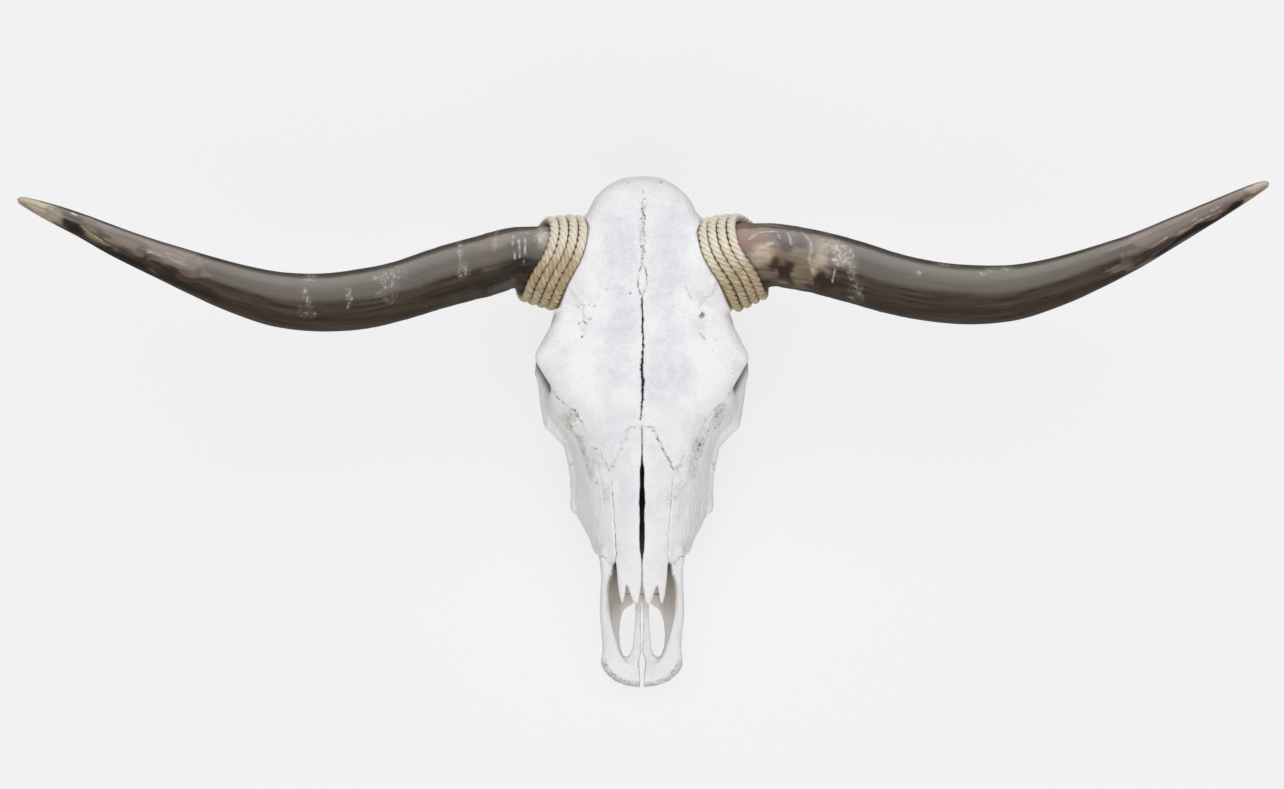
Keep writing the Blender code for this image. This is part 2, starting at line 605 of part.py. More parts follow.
def cutter(name, work):
    bmesh.ops.recalc_face_normals(work, faces=work.faces)
    bmesh.ops.triangulate(work, faces=work.faces)
    mesh = bpy.data.meshes.new(name)
    work.to_mesh(mesh)
    work.free()
    made = bpy.data.objects.new(name, mesh)
    bpy.context.scene.collection.objects.link(made)
    made.hide_render = True
    made.display_type = "WIRE"
    return made


def cut_with(made, tool, operation):
    boolean = made.modifiers.new(tool.name, "BOOLEAN")
    boolean.operation = operation
    boolean.solver = "EXACT"
    boolean.object = tool


def largest_body(mesh):
    """The mesh without the splinters that its cuts have left inside the nose."""
    work = bmesh.new()
    work.from_mesh(mesh)
    bodies, left = [], set(work.verts)
    while left:
        body, reached = set(), [left.pop()]
        while reached:
            vert = reached.pop()
            body.add(vert)
            beside = {edge.other_vert(vert) for edge in vert.link_edges} & left
            left -= beside
            reached += beside
        bodies.append(body)
    largest = max(bodies, key=len)
    splinters = [vert for vert in work.verts if vert not in largest]
    bmesh.ops.delete(work, geom=splinters, context="VERTS")
    work.to_mesh(mesh)
    work.free()
    return mesh


def make_bones(parent):
    """The cranium, and the nasal bones and premaxillae cut out of the same mesh along their sutures."""
    mesh = rough_bone()
    rough = new_object("rough_cranium", mesh, parent, BONE_COLOUR, BONE_ROUGHNESS)
    seats = []
    for name, hand in (("left", 1), ("right", -1)):
        seats.append(horn_seat(f"horn_seat_{name}", name))
        cut_with(rough, seats[-1], "DIFFERENCE")
        nasal_room = None
        for bone, punch in (("nasal", nasal_punch), ("premaxilla", premaxilla_punch)):
            piece = new_object(f"{bone}_{name}", mesh.copy(), parent, BONE_COLOUR, BONE_ROUGHNESS)
            if nasal_room:
                cut_with(piece, nasal_room, "DIFFERENCE")
            tool = punch(f"{bone}_shape_{name}", hand, 0.0)
            tool.parent = parent
            cut_with(piece, tool, "INTERSECT")
            room = punch(f"{bone}_room_{name}", hand, SEAM)
            room.parent = parent
            cut_with(rough, room, "DIFFERENCE")
            nasal_room = room
    new_object("cranium", largest_body(baked(rough)), parent, BONE_COLOUR, BONE_ROUGHNESS)
    for seat in seats:
        bpy.data.objects.remove(seat)


# ---- Horns and ropes ----------------------------------------------------------------------------------
def horn_curve(name):
    """The horn's middle line and radius by the distance from the bone."""
    stations = np.array(HORN_LINES[name], float)
    steps = np.linalg.norm(np.diff(stations[:, :3], axis=0), axis=1)
    return smooth(tuple(zip(np.concatenate(((0,), np.cumsum(steps))), stations))), steps.sum()


def horn_normal(name):
    """The way the horn leaves the bone, square to the turns of rope."""
    hand = 1 if name == "left" else -1
    rise = HORN_RISE[name]
    return np.array((hand * math.cos(rise) * math.cos(HORN_LEAN), -math.cos(rise) * math.sin(HORN_LEAN),
                     math.sin(rise)))


def horn_ring(name, line, length, reach):
    """Middle, radius and two spokes of the ring at a distance from the bone."""
    here = line(reach)
    ahead, behind = line(min(reach + 3, length)), line(max(reach - 3, 0))
    tangent = (ahead - behind)[:3]
    tangent = tangent / np.linalg.norm(tangent)
    share = np.clip((reach - 36) / 50, 0, 1)
    share = share * share * (3 - 2 * share)
    normal = (1 - share) * horn_normal(name) + share * tangent
    normal = normal / np.linalg.norm(normal)
    first = np.array((0.0, 1.0, 0.0))
    first = first - first.dot(normal) * normal
    first = first / np.linalg.norm(first)
    second = np.cross(normal, first)
    return here[:3], here[3], first, second


def make_horn(name, parent):
    line, length = horn_curve(name)
    rings_on = np.linspace(90, length - 30, HORN_RINGS)
    reaches = np.concatenate(((0, 8, 18, 30, 40, 52, 68), rings_on, (length - 14, length - 5, length)))
    work = bmesh.new()
    rings = []
    for reach in reaches:
        centre, radius, first, second = horn_ring(name, line, length, reach)
        ring = []
        for angle in np.linspace(0, 2 * math.pi, HORN_SIDES, endpoint=False):
            ring.append(work.verts.new(to_blender(
                centre + radius * (math.cos(angle) * first + math.sin(angle) * second))))
        rings.append(ring)
    for ring, following in zip(rings, rings[1:]):
        for i in range(HORN_SIDES):
            j = (i + 1) % HORN_SIDES
            work.faces.new((ring[i], ring[j], following[j], following[i]))
    work.faces.new(rings[0])
    work.faces.new(rings[-1])
    bmesh.ops.recalc_face_normals(work, faces=work.faces)
    mesh = bpy.data.meshes.new(f"horn_{name}")
    work.to_mesh(mesh)
    work.free()
    mesh.shade_smooth()
    return new_object(f"horn_{name}", mesh, parent, HORN_COLOUR, HORN_ROUGHNESS)


def rope_slide(name, angle):
    """How far the turns have slid outwards at an angle from the spoke towards the muzzle."""
    hand = 1 if name == "left" else -1
    turned = math.degrees(math.atan2(math.cos(angle), hand * math.sin(angle)))
    return float(smooth(ROPE_SLIDE[name])(turned))


def rope_route(name):
    """The middle of the rope: turns side by side, each stepping to the next under the horn."""
    line, length = horn_curve(name)
    hand = 1 if name == "left" else -1
    points = []
    for i in range(ROPE_TURNS * ROPE_POINTS_PER_TURN - 1):
        turn = i / ROPE_POINTS_PER_TURN
        angle = 2 * math.pi * turn - hand * math.pi / 2
        step = np.clip((turn % 1 - ROPE_STEP_FROM) / (1 - ROPE_STEP_FROM), 0, 1)
        reach = ROPE_DIAMETER / 2 + SEAM + ROPE_PITCH * (int(turn) + step * step * (3 - 2 * step))
        reach += rope_slide(name, angle)
        centre, radius, first, second = horn_ring(name, line, length, reach)
        swing = radius + ROPE_DIAMETER / 2 + 1.5 * SEAM
        points.append(to_blender(centre + swing * (math.cos(angle) * first + math.sin(angle) * second)))
    return points


def make_rope(name, parent):
    curve = bpy.data.curves.new(f"rope_{name}", "CURVE")
    curve.dimensions = "3D"
    curve.bevel_depth = ROPE_DIAMETER / 2 * MM
    curve.bevel_resolution = 2
    curve.use_fill_caps = True
    route = rope_route(name)
    spline = curve.splines.new("POLY")
    spline.points.add(len(route) - 1)
    for place, point in zip(spline.points, route):
        place.co = (*point, 1.0)
    return new_object(f"rope_{name}", curve, parent, ROPE_COLOUR, ROPE_ROUGHNESS)


def stand_on_floor(parent):
    """Tilts the skull so that it rests level, and puts the origin under the middle of its box."""
    parent.rotation_euler = (FACE_TILT, 0, 0)
    bpy.context.view_layer.update()
    graph = bpy.context.evaluated_depsgraph_get()
    corners = [
        piece.matrix_world @ vertex.co
        for piece in parent.children if not piece.hide_render
        for vertex in piece.evaluated_get(graph).to_mesh().vertices
    ]
    middle = [(min(c[i] for c in corners) + max(c[i] for c in corners)) / 2 for i in (0, 1)]
    floor = (parent.matrix_world @ to_blender(JUGULAR_TIP)).z
    parent.location = (-middle[0], -middle[1], -floor)


def main():
    for old in list(bpy.data.objects):
        bpy.data.objects.remove(old)
    skull_frame = bpy.data.objects.new("skull_frame", None)
    bpy.context.scene.collection.objects.link(skull_frame)
    make_bones(skull_frame)
    for name in HORN_LINES:
        make_horn(name, skull_frame)
        make_rope(name, skull_frame)
    stand_on_floor(skull_frame)


main()
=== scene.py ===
"""Longhorn steer skull: bleached bone, polished horns and three-strand rope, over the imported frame.

Places on the skull are in millimetres, as (side, along, up): side from the midline towards the animal's
own left, along from the poll towards the muzzle, up from the flat of the forehead. The bone is modelled
like clay, in a field of distances that OpenVDB turns into a mesh, and its sutures, pits and pores are
pressed in after.
"""

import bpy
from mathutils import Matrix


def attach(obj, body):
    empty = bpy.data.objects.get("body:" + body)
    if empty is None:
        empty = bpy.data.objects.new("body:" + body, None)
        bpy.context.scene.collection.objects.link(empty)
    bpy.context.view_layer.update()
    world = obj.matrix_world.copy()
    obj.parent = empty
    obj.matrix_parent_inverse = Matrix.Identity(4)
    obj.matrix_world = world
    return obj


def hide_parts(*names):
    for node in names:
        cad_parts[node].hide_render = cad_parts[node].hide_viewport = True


bl_info = {
    "name": "Longhorn Steer Skull",
    "version": (1, 0, 0),
    "blender": (4, 5, 0),
    "location": "3D View > Sidebar > Skull",
    "description": "A bleached longhorn skull with polished horns bound in rope",
    "category": "Add Mesh",
}

import math

import bmesh
import bpy
import numpy as np
import openvdb
from bpy.props import FloatProperty, FloatVectorProperty, IntProperty, PointerProperty
from mathutils import Matrix, Vector

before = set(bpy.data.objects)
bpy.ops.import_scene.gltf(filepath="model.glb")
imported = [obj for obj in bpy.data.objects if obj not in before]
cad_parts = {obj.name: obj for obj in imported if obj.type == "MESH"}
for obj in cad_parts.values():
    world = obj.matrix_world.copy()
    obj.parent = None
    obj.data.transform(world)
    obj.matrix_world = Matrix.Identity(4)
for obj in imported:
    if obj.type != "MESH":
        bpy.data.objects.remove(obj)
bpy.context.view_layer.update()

MM = 0.001
SIDES_OF_SKULL = {"left": 1, "right": -1}  # the animal's own left is +X

# ---- How the skull lies -------------------------------------------------------------------------------
JUGULAR_TIP = (54, 56, -214)  # rests on the floor behind
FRONT_TOOTH_REST = (43, 388, -143.5)  # rests on the floor in front
FLOOR_SLOPE = (FRONT_TOOTH_REST[2] - JUGULAR_TIP[2]) / (FRONT_TOOTH_REST[1] - JUGULAR_TIP[1])
FACE_TILT = math.atan(FLOOR_SLOPE)
FRAME_PLACE = Vector((-0.00226, 0.241769, 0.2209646))  # where the poll lies in the frame, in metres
TO_ROW = Matrix.Translation(FRAME_PLACE) @ Matrix.Rotation(FACE_TILT, 4, "X")

# ---- The skull's shape --------------------------------------------------------------------------------
ORBIT_CENTRE = (95, 200, -56)
ORBIT_AXIS = (0.84, 0.49, 0.23)  # the way the eye socket looks
ORBIT_RADIUS = 22
NASAL_THICKNESS = 6
REFINE_REACHES = (3.0, 1.4)  # how near to a suture or hole each round of finer mesh reaches

# Half breadths like a boat's table of offsets: a row for each place along, a column for each height.
HEIGHTS = (0, -10, -20, -35, -55, -75, -90, -105, -125, -145, -165, -185, -205)
HALF_BREADTHS = {
    0: (62, 64, 66, 64, 58, 56, 62, 74, 84, 78, 60, 42, 30),
    45: (62, 65, 66, 64, 59, 58, 66, 80, 90, 84, 62, 44, 30),
    80: (66, 70, 71, 68, 60, 57, 60, 66, 70, 62, 42, 28, 16),
    115: (72, 79, 81, 74, 58, 56, 58, 57, 52, 42, 30, 20, 10),
    150: (87, 92, 93, 81, 56, 48, 48, 46, 40, 33, 26, 16, 8),
    172: (98, 104, 105, 92, 58, 44, 44, 42, 38, 32, 26, 16, 8),
    187: (103, 110, 111, 101, 64, 42, 42, 42, 38, 33, 28, 18, 8),
    200: (98.5, 104.5, 106.5, 100, 68, 46, 44, 45, 42, 38, 30, 18, 8),
    216: (88, 95, 97.5, 95, 92, 88, 82, 66, 56, 48, 38, 20, 8),
    236: (78, 86, 92, 96, 99, 101, 98, 74, 62, 58, 45, 30, 20),
    254: (58, 68, 77, 84, 91, 95, 95, 80, 67, 62, 52, 40, 30),
    272: (42, 52, 61, 70, 77, 81, 82, 76, 72, 70, 60, 50, 40),
    300: (26, 43, 51, 60, 68, 72, 73, 72.5, 73, 71, 62, 56, 50),
    343: (16, 28, 36, 48, 59, 69, 73, 71.5, 71, 69, 60, 56, 50),
    372: (12, 24, 32, 44, 54, 59, 60, 60, 60, 59, 52, 48, 44),
    392: (8, 19, 28, 39, 46, 47, 47, 46, 47, 47, 45, 42, 40),
    412: (8, 16, 25, 37, 43, 44, 44, 43, 41, 38, 34, 30, 30),
}
# Heights of the upper surface, a column for each place sideways.
SIDES = (0, 15, 30, 45, 60, 75, 90, 105)
TOP_HEIGHTS = {
    -10: (-40, -42, -50, -60, -70, -80, -90, -95),
    0: (-20, -22, -30, -42, -55, -65, -75, -80),
    10: (-9, -10, -15, -24, -38, -50, -60, -65),
    22: (-3, -3.5, -6, -12, -24, -38, -50, -60),
    40: (1, 0.5, -0.5, -4, -11, -20, -30, -40),
    80: (2, 1.5, 1, 0, 0, 1, 0, -5),
    120: (1, 0.5, 0, -1, -3, -6, -10, -16),
    160: (-1, -2, -2.5, -3, -3.5, -4, -7, -13),
    190: (-3, -4, -4.5, -5, -5, -5, -7, -12),
    215: (-4, -4.5, -5, -6, -6, -7, -12, -24),
    240: (-5, -5, -6, -7, -10, -17, -31, -52),
    270: (-6, -6, -8, -13, -20, -30, -44, -58),
    300: (-8, -9, -12, -19, -28, -38, -46, -54),
    345: (-13, -14, -18, -25, -34, -44, -50, -60),
    400: (-20, -22, -28, -36, -45, -55, -60, -60),
    447: (-28, -31, -38, -46, -55, -60, -60, -60),
}
# How far the back of the skull lies from the poll: a row for each height, a column for each place sideways.
BACK_SIDES = (0, 15, 30, 40, 50, 60, 75, 95)
BACK_OF_SKULL = {
    -220: (48, 48, 48, 48, 49, 52, 58, 64),
    -170: (36, 36, 36, 37, 39, 42, 48, 58),
    -140: (27, 27, 28, 29, 32, 37, 45, 56),
    -105: (14, 14, 15, 17, 23, 33, 44, 56),
    -75: (8, 8, 10, 14, 22, 36, 50, 66),
    -45: (-2, -1, 4, 12, 24, 42, 56, 74),
    -20: (-6, -4, 2, 10, 21, 42, 58, 76),
    10: (2, 4, 10, 18, 30, 50, 62, 82),
}
BASE_OF_SKULL = (
    (0, -188), (50, -190), (110, -184), (150, -166), (185, -146), (215, -128), (262, -120), (395, -112),
    (420, -106), (470, -101), (540, -103),
)
CHEEK_TEETH = (  # (half breadth at the middle, along, length, width) of the premolars and molars
    (44, 388, 15, 14), (48.5, 370, 18, 18), (52.5, 352, 18, 21), (55.5, 331, 23, 24), (57, 306, 26, 25),
    (56.5, 278, 29, 23),
)
# The muzzle's half breadth by the place along.
MUZZLE_OUTSIDE = (
    (380, 44), (400, 44), (420, 43.3), (440, 44.3), (465, 44.3), (485, 42.2), (500, 42), (511, 43.6),
    (521, 40.5), (529, 33.5), (534, 26), (538, 14), (540.5, -4), (546, -30),
)
# Lines on the left half, as (side, along, half width).
SOCKET_RIM = ((110.5, 189, 0), (106.5, 199, 0), (100, 211, 0), (93.5, 221, 0), (88, 228, 0))
FRONT_LIP = (
    (44.5, 500, 0), (43.6, 511, 0), (40.5, 521, 0), (33.5, 529, 0), (26, 534, 0), (14, 538, 0), (0, 539, 0)
)
# The open nose's half breadth, the height of the muzzle's upper edge and that of the nose's floor.
NOSE_OPENING = (
    (270, -8), (288, 8), (305, 19), (340, 25), (400, 27), (412, 29), (425, 33.5), (443, 34.5), (459, 33.5),
    (474, 31), (485, 28), (497, 24.5), (508, 19), (517, 9), (522, -8),
)
MUZZLE_EDGE = ((380, -30), (404, -38), (440, -52), (480, -68), (505, -80), (525, -87), (538, -92))
NOSE_FLOOR = (
    (280, -80), (340, -92), (440, -91), (486, -92.5), (500, -90), (512, -85.5), (524, -80), (540, -76)
)

# Outlines on the left half, as (side, along). The two gaps give half their breadth by the place along, and
# the premaxilla is seen from the side, as (along, up).
NASAL_OUTLINE = (
    (-9, 258), (13, 259.5), (20, 276), (27.5, 292), (35, 305), (33, 341), (31, 368), (29.3, 398), (27, 404),
    (25.6, 425), (24, 437), (21.8, 445), (20.2, 446), (18.8, 442), (17.6, 433), (16.2, 424.5), (14.6, 429),
    (12.2, 436), (9.6, 443.5), (6, 446), (3.4, 443.5), (2.4, 437), (0.8, 426), (-9, 426),
)
NASAL_GAP = (
    (250, 0.3), (286, 0.4), (293, 0.9), (300, 1.6), (312, 2.1), (332, 2.7), (350, 2.5), (362, 2.1),
    (372, 2.5), (385, 2.3), (394, 1.4), (400, 0.3), (420, 0.3), (426, 0.5), (437, 2.4), (450, 3),
)
PALATE_FISSURE = (
    (6.7, 447.5), (10, 449), (19.8, 456.5), (23.3, 468), (24.3, 481.8), (23.6, 495), (20.5, 504.5),
    (16.4, 506.8), (12, 503.8), (10, 496), (8.5, 480), (7.1, 464),
)
PREMAXILLA_GAP = (
    (446, 0.5), (452, 0.8), (460, 1.3), (480, 1.2), (495, 0.6), (503, 1.4), (508, 3.1), (515, 3.3),
    (525, 2.2), (534, 1.7), (546, 1.9),
)
PREMAXILLA_SIDE = (
    (396, -36), (447, -47), (462, -15), (560, -15), (560, -140), (456, -140), (442, -96), (397, -44),
)

# ---- Horns and rope -----------------------------------------------------------------------------------
# Each horn's line, from the bone outwards: (side, along, up, radius).
HORN_LINES = {
    "left": (
        (79.5, 91.3, -36.7, 42.5), (84, 90, -35, 42.5), (111, 82.5, -26.5, 38), (128, 80, -21, 34.2),
        (165, 84.5, -9, 32.8), (217, 97.6, 2, 32.4), (258, 110.4, 11, 31.5), (298, 119, 19.5, 31),
        (339, 122.8, 27, 30.6), (380, 121, 34, 28.8), (420, 111.8, 42, 25.6), (460, 97.7, 50, 22.1),
        (500, 81.2, 59, 18.2), (539, 61.2, 68, 14.2), (578, 40.9, 78, 10.9), (610, 24, 87, 7.6),
        (623, 17.2, 90.8, 5.7), (629, 14.3, 92.5, 4.4), (632.5, 12.5, 93.5, 3), (634.4, 11.6, 94, 0.4),
    ),
    "right": (
        (-75.4, 89.3, -36.5, 42.3), (-80, 88, -35, 42.3), (-107.5, 84.9, -26.5, 37.4),
        (-127, 82.7, -20, 33), (-168, 92.9, -9, 32.1), (-210, 104.8, 1, 31.3), (-251, 118.4, 10, 30.4),
        (-291, 127.3, 18, 31), (-332, 130.8, 26, 29.9), (-372, 128.1, 33, 28.5), (-413, 118, 41, 25.7),
        (-453, 103.9, 49, 22.2), (-493, 88.4, 57, 18.5), (-532, 72, 66, 15.1), (-571, 53.6, 76, 11.7),
        (-605, 39.2, 86, 8.4), (-620, 33, 90.5, 5.8), (-626.5, 30.4, 92.5, 4.4), (-630, 29, 93.6, 3),
        (-632, 28.2, 94.2, 0.4),
    ),
}
HORN_LEAN = math.radians(16)
HORN_RISE = {"left": math.radians(20), "right": math.radians(17)}
ROPE_PITCH = 9.7
# How far the turns slide out along the horn, by the angle round it: 0 faces up, 90 faces the muzzle.
ROPE_SLIDE = {
    "left": (
        (-180, 0), (-40, 0), (-10, 3.2), (8, 7.2), (24, 10.8), (42, 11.8), (62, 10), (85, 6), (120, 1),
        (180, 0),
    ),
    "right": (
        (-180, 0), (-50, 0), (-27, 0.8), (-3, 3.4), (20, 7.6), (38, 9), (60, 7.4), (85, 3.6), (120, 0.5),
        (180, 0),
    ),
}
ROPE_TURNS = 4
STRANDS = 3
SEAM = 0.4  # what parts a horn or a rope from the bone

# ---- What shows on the bone ---------------------------------------------------------------------------
# Sutures and cracks: how far they wander and over what length, depth, how dark, and points. Above and
# below, a point is (side, along, half width), and beside it is (along, up, half width), on both sides alike.
SUTURES_ABOVE = {
    "open frontal suture": (0.8, 2.6, 5.0, 1.0, (
        (-0.2, 126, 0.4), (0.6, 145, 0.6), (1.2, 170, 0.5), (0.9, 185, 0.8), (-0.6, 199, 1.1),
        (0.8, 210, 1.1), (0.5, 226, 0.8), (-0.3, 240, 0.4), (-1.6, 252, 0.2),
    )),
    "closed frontal suture": (2.4, 3.0, 0.8, 0.62, (
        (0.5, 12, 0.3), (1.5, 30, 0.4), (0.5, 50, 0.4), (1.5, 68, 0.4), (0.3, 88, 0.5),
    )),
    "spindle, right half": (
        0.9, 3.0, 0.7, 0.7, ((0, 88, 0.3), (-4, 103, 0.45), (-4.2, 114, 0.45), (-0.4, 127, 0.4))
    ),
    "spindle, left half": (
        0.9, 3.0, 0.7, 0.7, ((0.6, 88, 0.3), (4.4, 99, 0.4), (5, 110, 0.45), (0.2, 127, 0.4))
    ),
    "between the nasal bones, above": (
        0.2, 3.0, 0.2, 0.55, ((0, 258, 0.3), (0.2, 280, 0.35), (0, 306, 0.4))
    ),
    "between the nasal bones, below": (
        0.2, 3.0, 0.2, 0.45, ((0, 386, 0.3), (0.1, 410, 0.35), (0, 440, 0.3))
    ),
    "end of the frontal suture": (0.4, 4.5, 0.5, 0.2, ((1, 234, 0.3), (2.2, 246, 0.3), (1, 258, 0.3))),
    "fronto-nasal, right": (1.8, 3.0, 0.5, 0.4, ((0, 261, 0.2), (-10, 260, 0.3), (-17, 265, 0.3))),
    "fronto-nasal, left": (1.8, 3.0, 0.5, 0.4, ((0, 261, 0.2), (9, 260, 0.3), (13, 264, 0.3))),
    "fronto-nasal wing, right": (1.0, 4.5, 0.6, 0.3, ((-17, 265, 0.2), (-27, 290, 0.3), (-35, 306, 0.4))),
    "fronto-nasal wing, left": (
        1.0, 3.0, 0.8, 0.6, ((13, 264, 0.3), (20, 280, 0.35), (33, 304, 0.4), (40, 300, 0.3))
    ),
    "fronto-lacrimal, right": (1.2, 3.5, 0.6, 0.5, ((-35, 306, 0.4), (-43, 286, 0.4), (-53, 281, 0.3))),
    "fronto-lacrimal, left": (1.2, 4.5, 0.4, 0.3, ((36, 306, 0.3), (44, 290, 0.3), (56, 283, 0.2))),
    "lacrimo-maxillary, right": (
        2.4, 4.5, 0.6, 0.4, ((-66, 301, 0.3), (-56, 311, 0.3), (-43, 322, 0.3), (-35, 338, 0.3))
    ),
    "lacrimo-maxillary, left": (
        2.4, 4.5, 0.5, 0.3, ((68, 304, 0.3), (50, 315, 0.3), (45, 322, 0.3), (35, 336, 0.3))
    ),
    "orbit margin, right": (
        0.9, 3.0, 0.9, 0.6, ((-97, 214, 0.2), (-88, 230, 0.5), (-71, 243, 0.6), (-62, 257, 0.5))
    ),
    "orbit margin, left": (
        1.2, 3.0, 0.8, 0.5, ((96, 217, 0.2), (88, 231, 0.4), (72, 245, 0.5), (64, 258, 0.4))
    ),
    "cheek crack, right": (1.0, 4.5, 0.4, 0.3, ((-70, 266, 0.2), (-67, 284, 0.3), (-64, 302, 0.2))),
    "outer crease, right": (
        1.4, 4.0, 0.8, 0.13, ((-72, 119, 1.0), (-67, 127, 1.9), (-62, 133, 1.5), (-61.5, 147, 1.3))
    ),
    "inner crease, right": (1.6, 3.0, 0.6, 0.13, ((-36, 117, 1.0), (-47, 125, 1.5), (-57, 133, 1.2))),
    "outer crease, left": (1.4, 4.0, 0.8, 0.15, (
        (78, 110, 0.8), (72.5, 120, 1.2), (69, 124, 1.6), (62, 130, 1.5), (61.5, 138, 1.0)
    )),
    "inner crease, left": (
        1.4, 3.0, 0.6, 0.16, ((45, 112, 0.6), (51, 125, 0.9), (58, 130, 1.2), (61, 136, 1.0))
    ),
    "edge of the foramen, right": (
        0.6, 2.6, 1.0, 0.5, ((-66.5, 153, 0.5), (-62.2, 149.2, 0.9), (-58, 152.5, 0.7))
    ),
    "nick beside the foramen, right": (0.5, 2.6, 0.6, 0.45, ((-56.8, 148.6, 0.4), (-53, 146.3, 0.8))),
    "nick under the foramen, left": (
        0.5, 2.6, 0.7, 0.5, ((60.3, 162.6, 0.3), (62.5, 165.6, 1.0), (65.3, 168.4, 0.4))
    ),
    "streak on the crease, left": (0.4, 3.0, 0.4, 0.35, ((49, 122.5, 0.3), (51.3, 126, 0.7))),
    "cheek ridge, right": (
        0.8, 3.0, 0.9, 0.42, ((-91, 262.5, 0.4), (-86, 260.5, 0.5), (-76, 263.5, 0.9), (-72, 266, 0.5))
    ),
    "cheek ridge, left": (
        0.8, 3.0, 0.9, 0.36, ((91, 252, 0.4), (84, 258, 0.6), (77, 266, 0.9), (70, 271, 0.5))
    ),
}
SUTURES_BESIDE = {
    "zygomatico-maxillary": (
        2.0, 4.0, 0.6, 0.35, ((262, -62, 0.3), (276, -70, 0.4), (296, -74, 0.4), (318, -92, 0.3))
    ),
    "lacrimo-zygomatic": (1.8, 4.0, 0.6, 0.35, ((250, -56, 0.3), (268, -60, 0.4), (290, -62, 0.3))),
    "temporo-zygomatic": (1.2, 4.0, 0.7, 0.4, ((148, -106, 0.3), (172, -111, 0.4), (196, -104, 0.3))),
    "squamous": (1.6, 4.5, 0.5, 0.3, ((98, -98, 0.3), (122, -96, 0.4), (150, -104, 0.4), (178, -120, 0.3))),
    "lambdoid": (1.8, 4.0, 0.6, 0.35, ((52, -88, 0.3), (60, -112, 0.4), (66, -140, 0.3))),
}
SUTURES_BELOW = {
    "median palatine": (
        1.2, 3.5, 0.8, 0.5, ((0.5, 270, 0.4), (-0.4, 320, 0.4), (0.6, 380, 0.4), (0, 440, 0.4))
    ),
    "transverse palatine, left": (1.8, 4.0, 0.6, 0.4, ((0, 322, 0.3), (14, 318, 0.4), (24, 304, 0.3))),
    "transverse palatine, right": (1.8, 4.0, 0.6, 0.4, ((0, 322, 0.3), (-14, 318, 0.4), (-24, 304, 0.3))),
    "base of the skull": (0.8, 4.0, 0.6, 0.4, ((-20, 118, 0.3), (0, 120, 0.4), (20, 118, 0.3))),
    "vomer, left": (0.8, 4.0, 0.5, 0.3, ((6, 150, 0.3), (5, 185, 0.3))),
    "vomer, right": (0.8, 4.0, 0.5, 0.3, ((-6, 150, 0.3), (-5, 185, 0.3))),
}
# Holes for vessels and nerves: (side, along, radius, depth, how dark).
FORAMINA = (
    (62.8, 143.6, 3.3, 3.5, 0.6), (62.8, 142, 1.6, 1.0, 0.8), (77, 169, 0.9, 0.6, 0.3),
    (74, 180, 1.2, 0.8, 0.3), (-62.2, 165.8, 1.3, 1.6, 0.75), (-60.8, 159, 1.2, 0.9, 0.35),
    (-55, 132.8, 1.3, 0.9, 0.45), (-54.6, 140.4, 0.9, 0.8, 0.4), (-49.5, 134, 1.4, 0.9, 0.45),
    (-67, 135.4, 1.3, 0.7, 0.35), (54, 143.4, 0.9, 0.5, 0.3), (-12.2, 121, 1.2, 1.4, 0.85),
    (-23.5, 43, 0.9, 0.8, 0.6), (-14.5, 4, 1.3, 0.8, 0.4), (20, 4, 1.4, 0.8, 0.5),
    (-70.5, 243, 1.5, 2.0, 0.9), (61, 279, 1.8, 2.2, 0.75), (59, 283, 1.2, 1.4, 0.6),
    (77, 261, 1.4, 1.6, 0.6), (70, 264, 1.1, 1.2, 0.5), (-95, 180, 0.8, 0.6, 0.35),
    (-82, 179, 0.8, 0.6, 0.3), (-31.5, 509, 1.4, 1.5, 0.5), (-26.5, 506, 1.0, 1.0, 0.5),
    (35, 509, 1.0, 1.0, 0.4), (37, 489, 0.9, 0.9, 0.45), (-38, 452, 0.8, 0.7, 0.3),
    (28, 336, 0.9, 0.7, 0.4), (8, 342, 0.8, 0.6, 0.3), (17, 357, 0.8, 0.5, 0.35), (96, 192, 0.8, 0.6, 0.35),
    (94, 204, 0.8, 0.6, 0.3),
)
# Soft hollows and swellings of the forehead and face: (side, along, half length, half breadth, turn, rise).
RELIEF = (
    (-63, 135, 24, 4, -32, -1.0), (-52, 137, 20, 4, 32, -1.0), (63, 133, 24, 4, 30, -1.1),
    (51, 133, 16, 4, -30, -0.8), (-27, 38, 20, 14, 0, -1.2), (27, 34, 22, 13, 0, -1.3),
    (62, 152, 17, 8, 0, -1.2), (-62, 153, 16, 7, 0, -1.0), (-57, 180, 30, 7, 0, 0.7),
    (-38, 190, 45, 15, 0, -0.9), (38, 190, 45, 16, 0, -0.8), (-82, 175, 22, 14, 20, 0.8),
    (84, 176, 22, 14, -20, 0.8), (-14, 110, 34, 7, 0, -0.6), (16, 108, 34, 8, 0, -0.5),
    (15, 320, 50, 9, 0, 0.8), (-15, 320, 50, 9, 0, 0.8), (-45, 335, 28, 8, -20, -0.9),
    (45, 335, 28, 8, 20, -0.9), (-70, 137, 10, 3, -60, -0.9), (70, 136, 10, 3, 60, -0.9),
    (-61, 158, 14, 3, 8, -0.8), (61, 156, 14, 3, -8, -0.8), (-27, 517, 4, 12, 28, -1.3),
    (27, 517, 4, 12, -28, -1.3), (-32, 500, 9, 5, 0, 0.8), (32, 500, 9, 5, 0, 0.8),
)
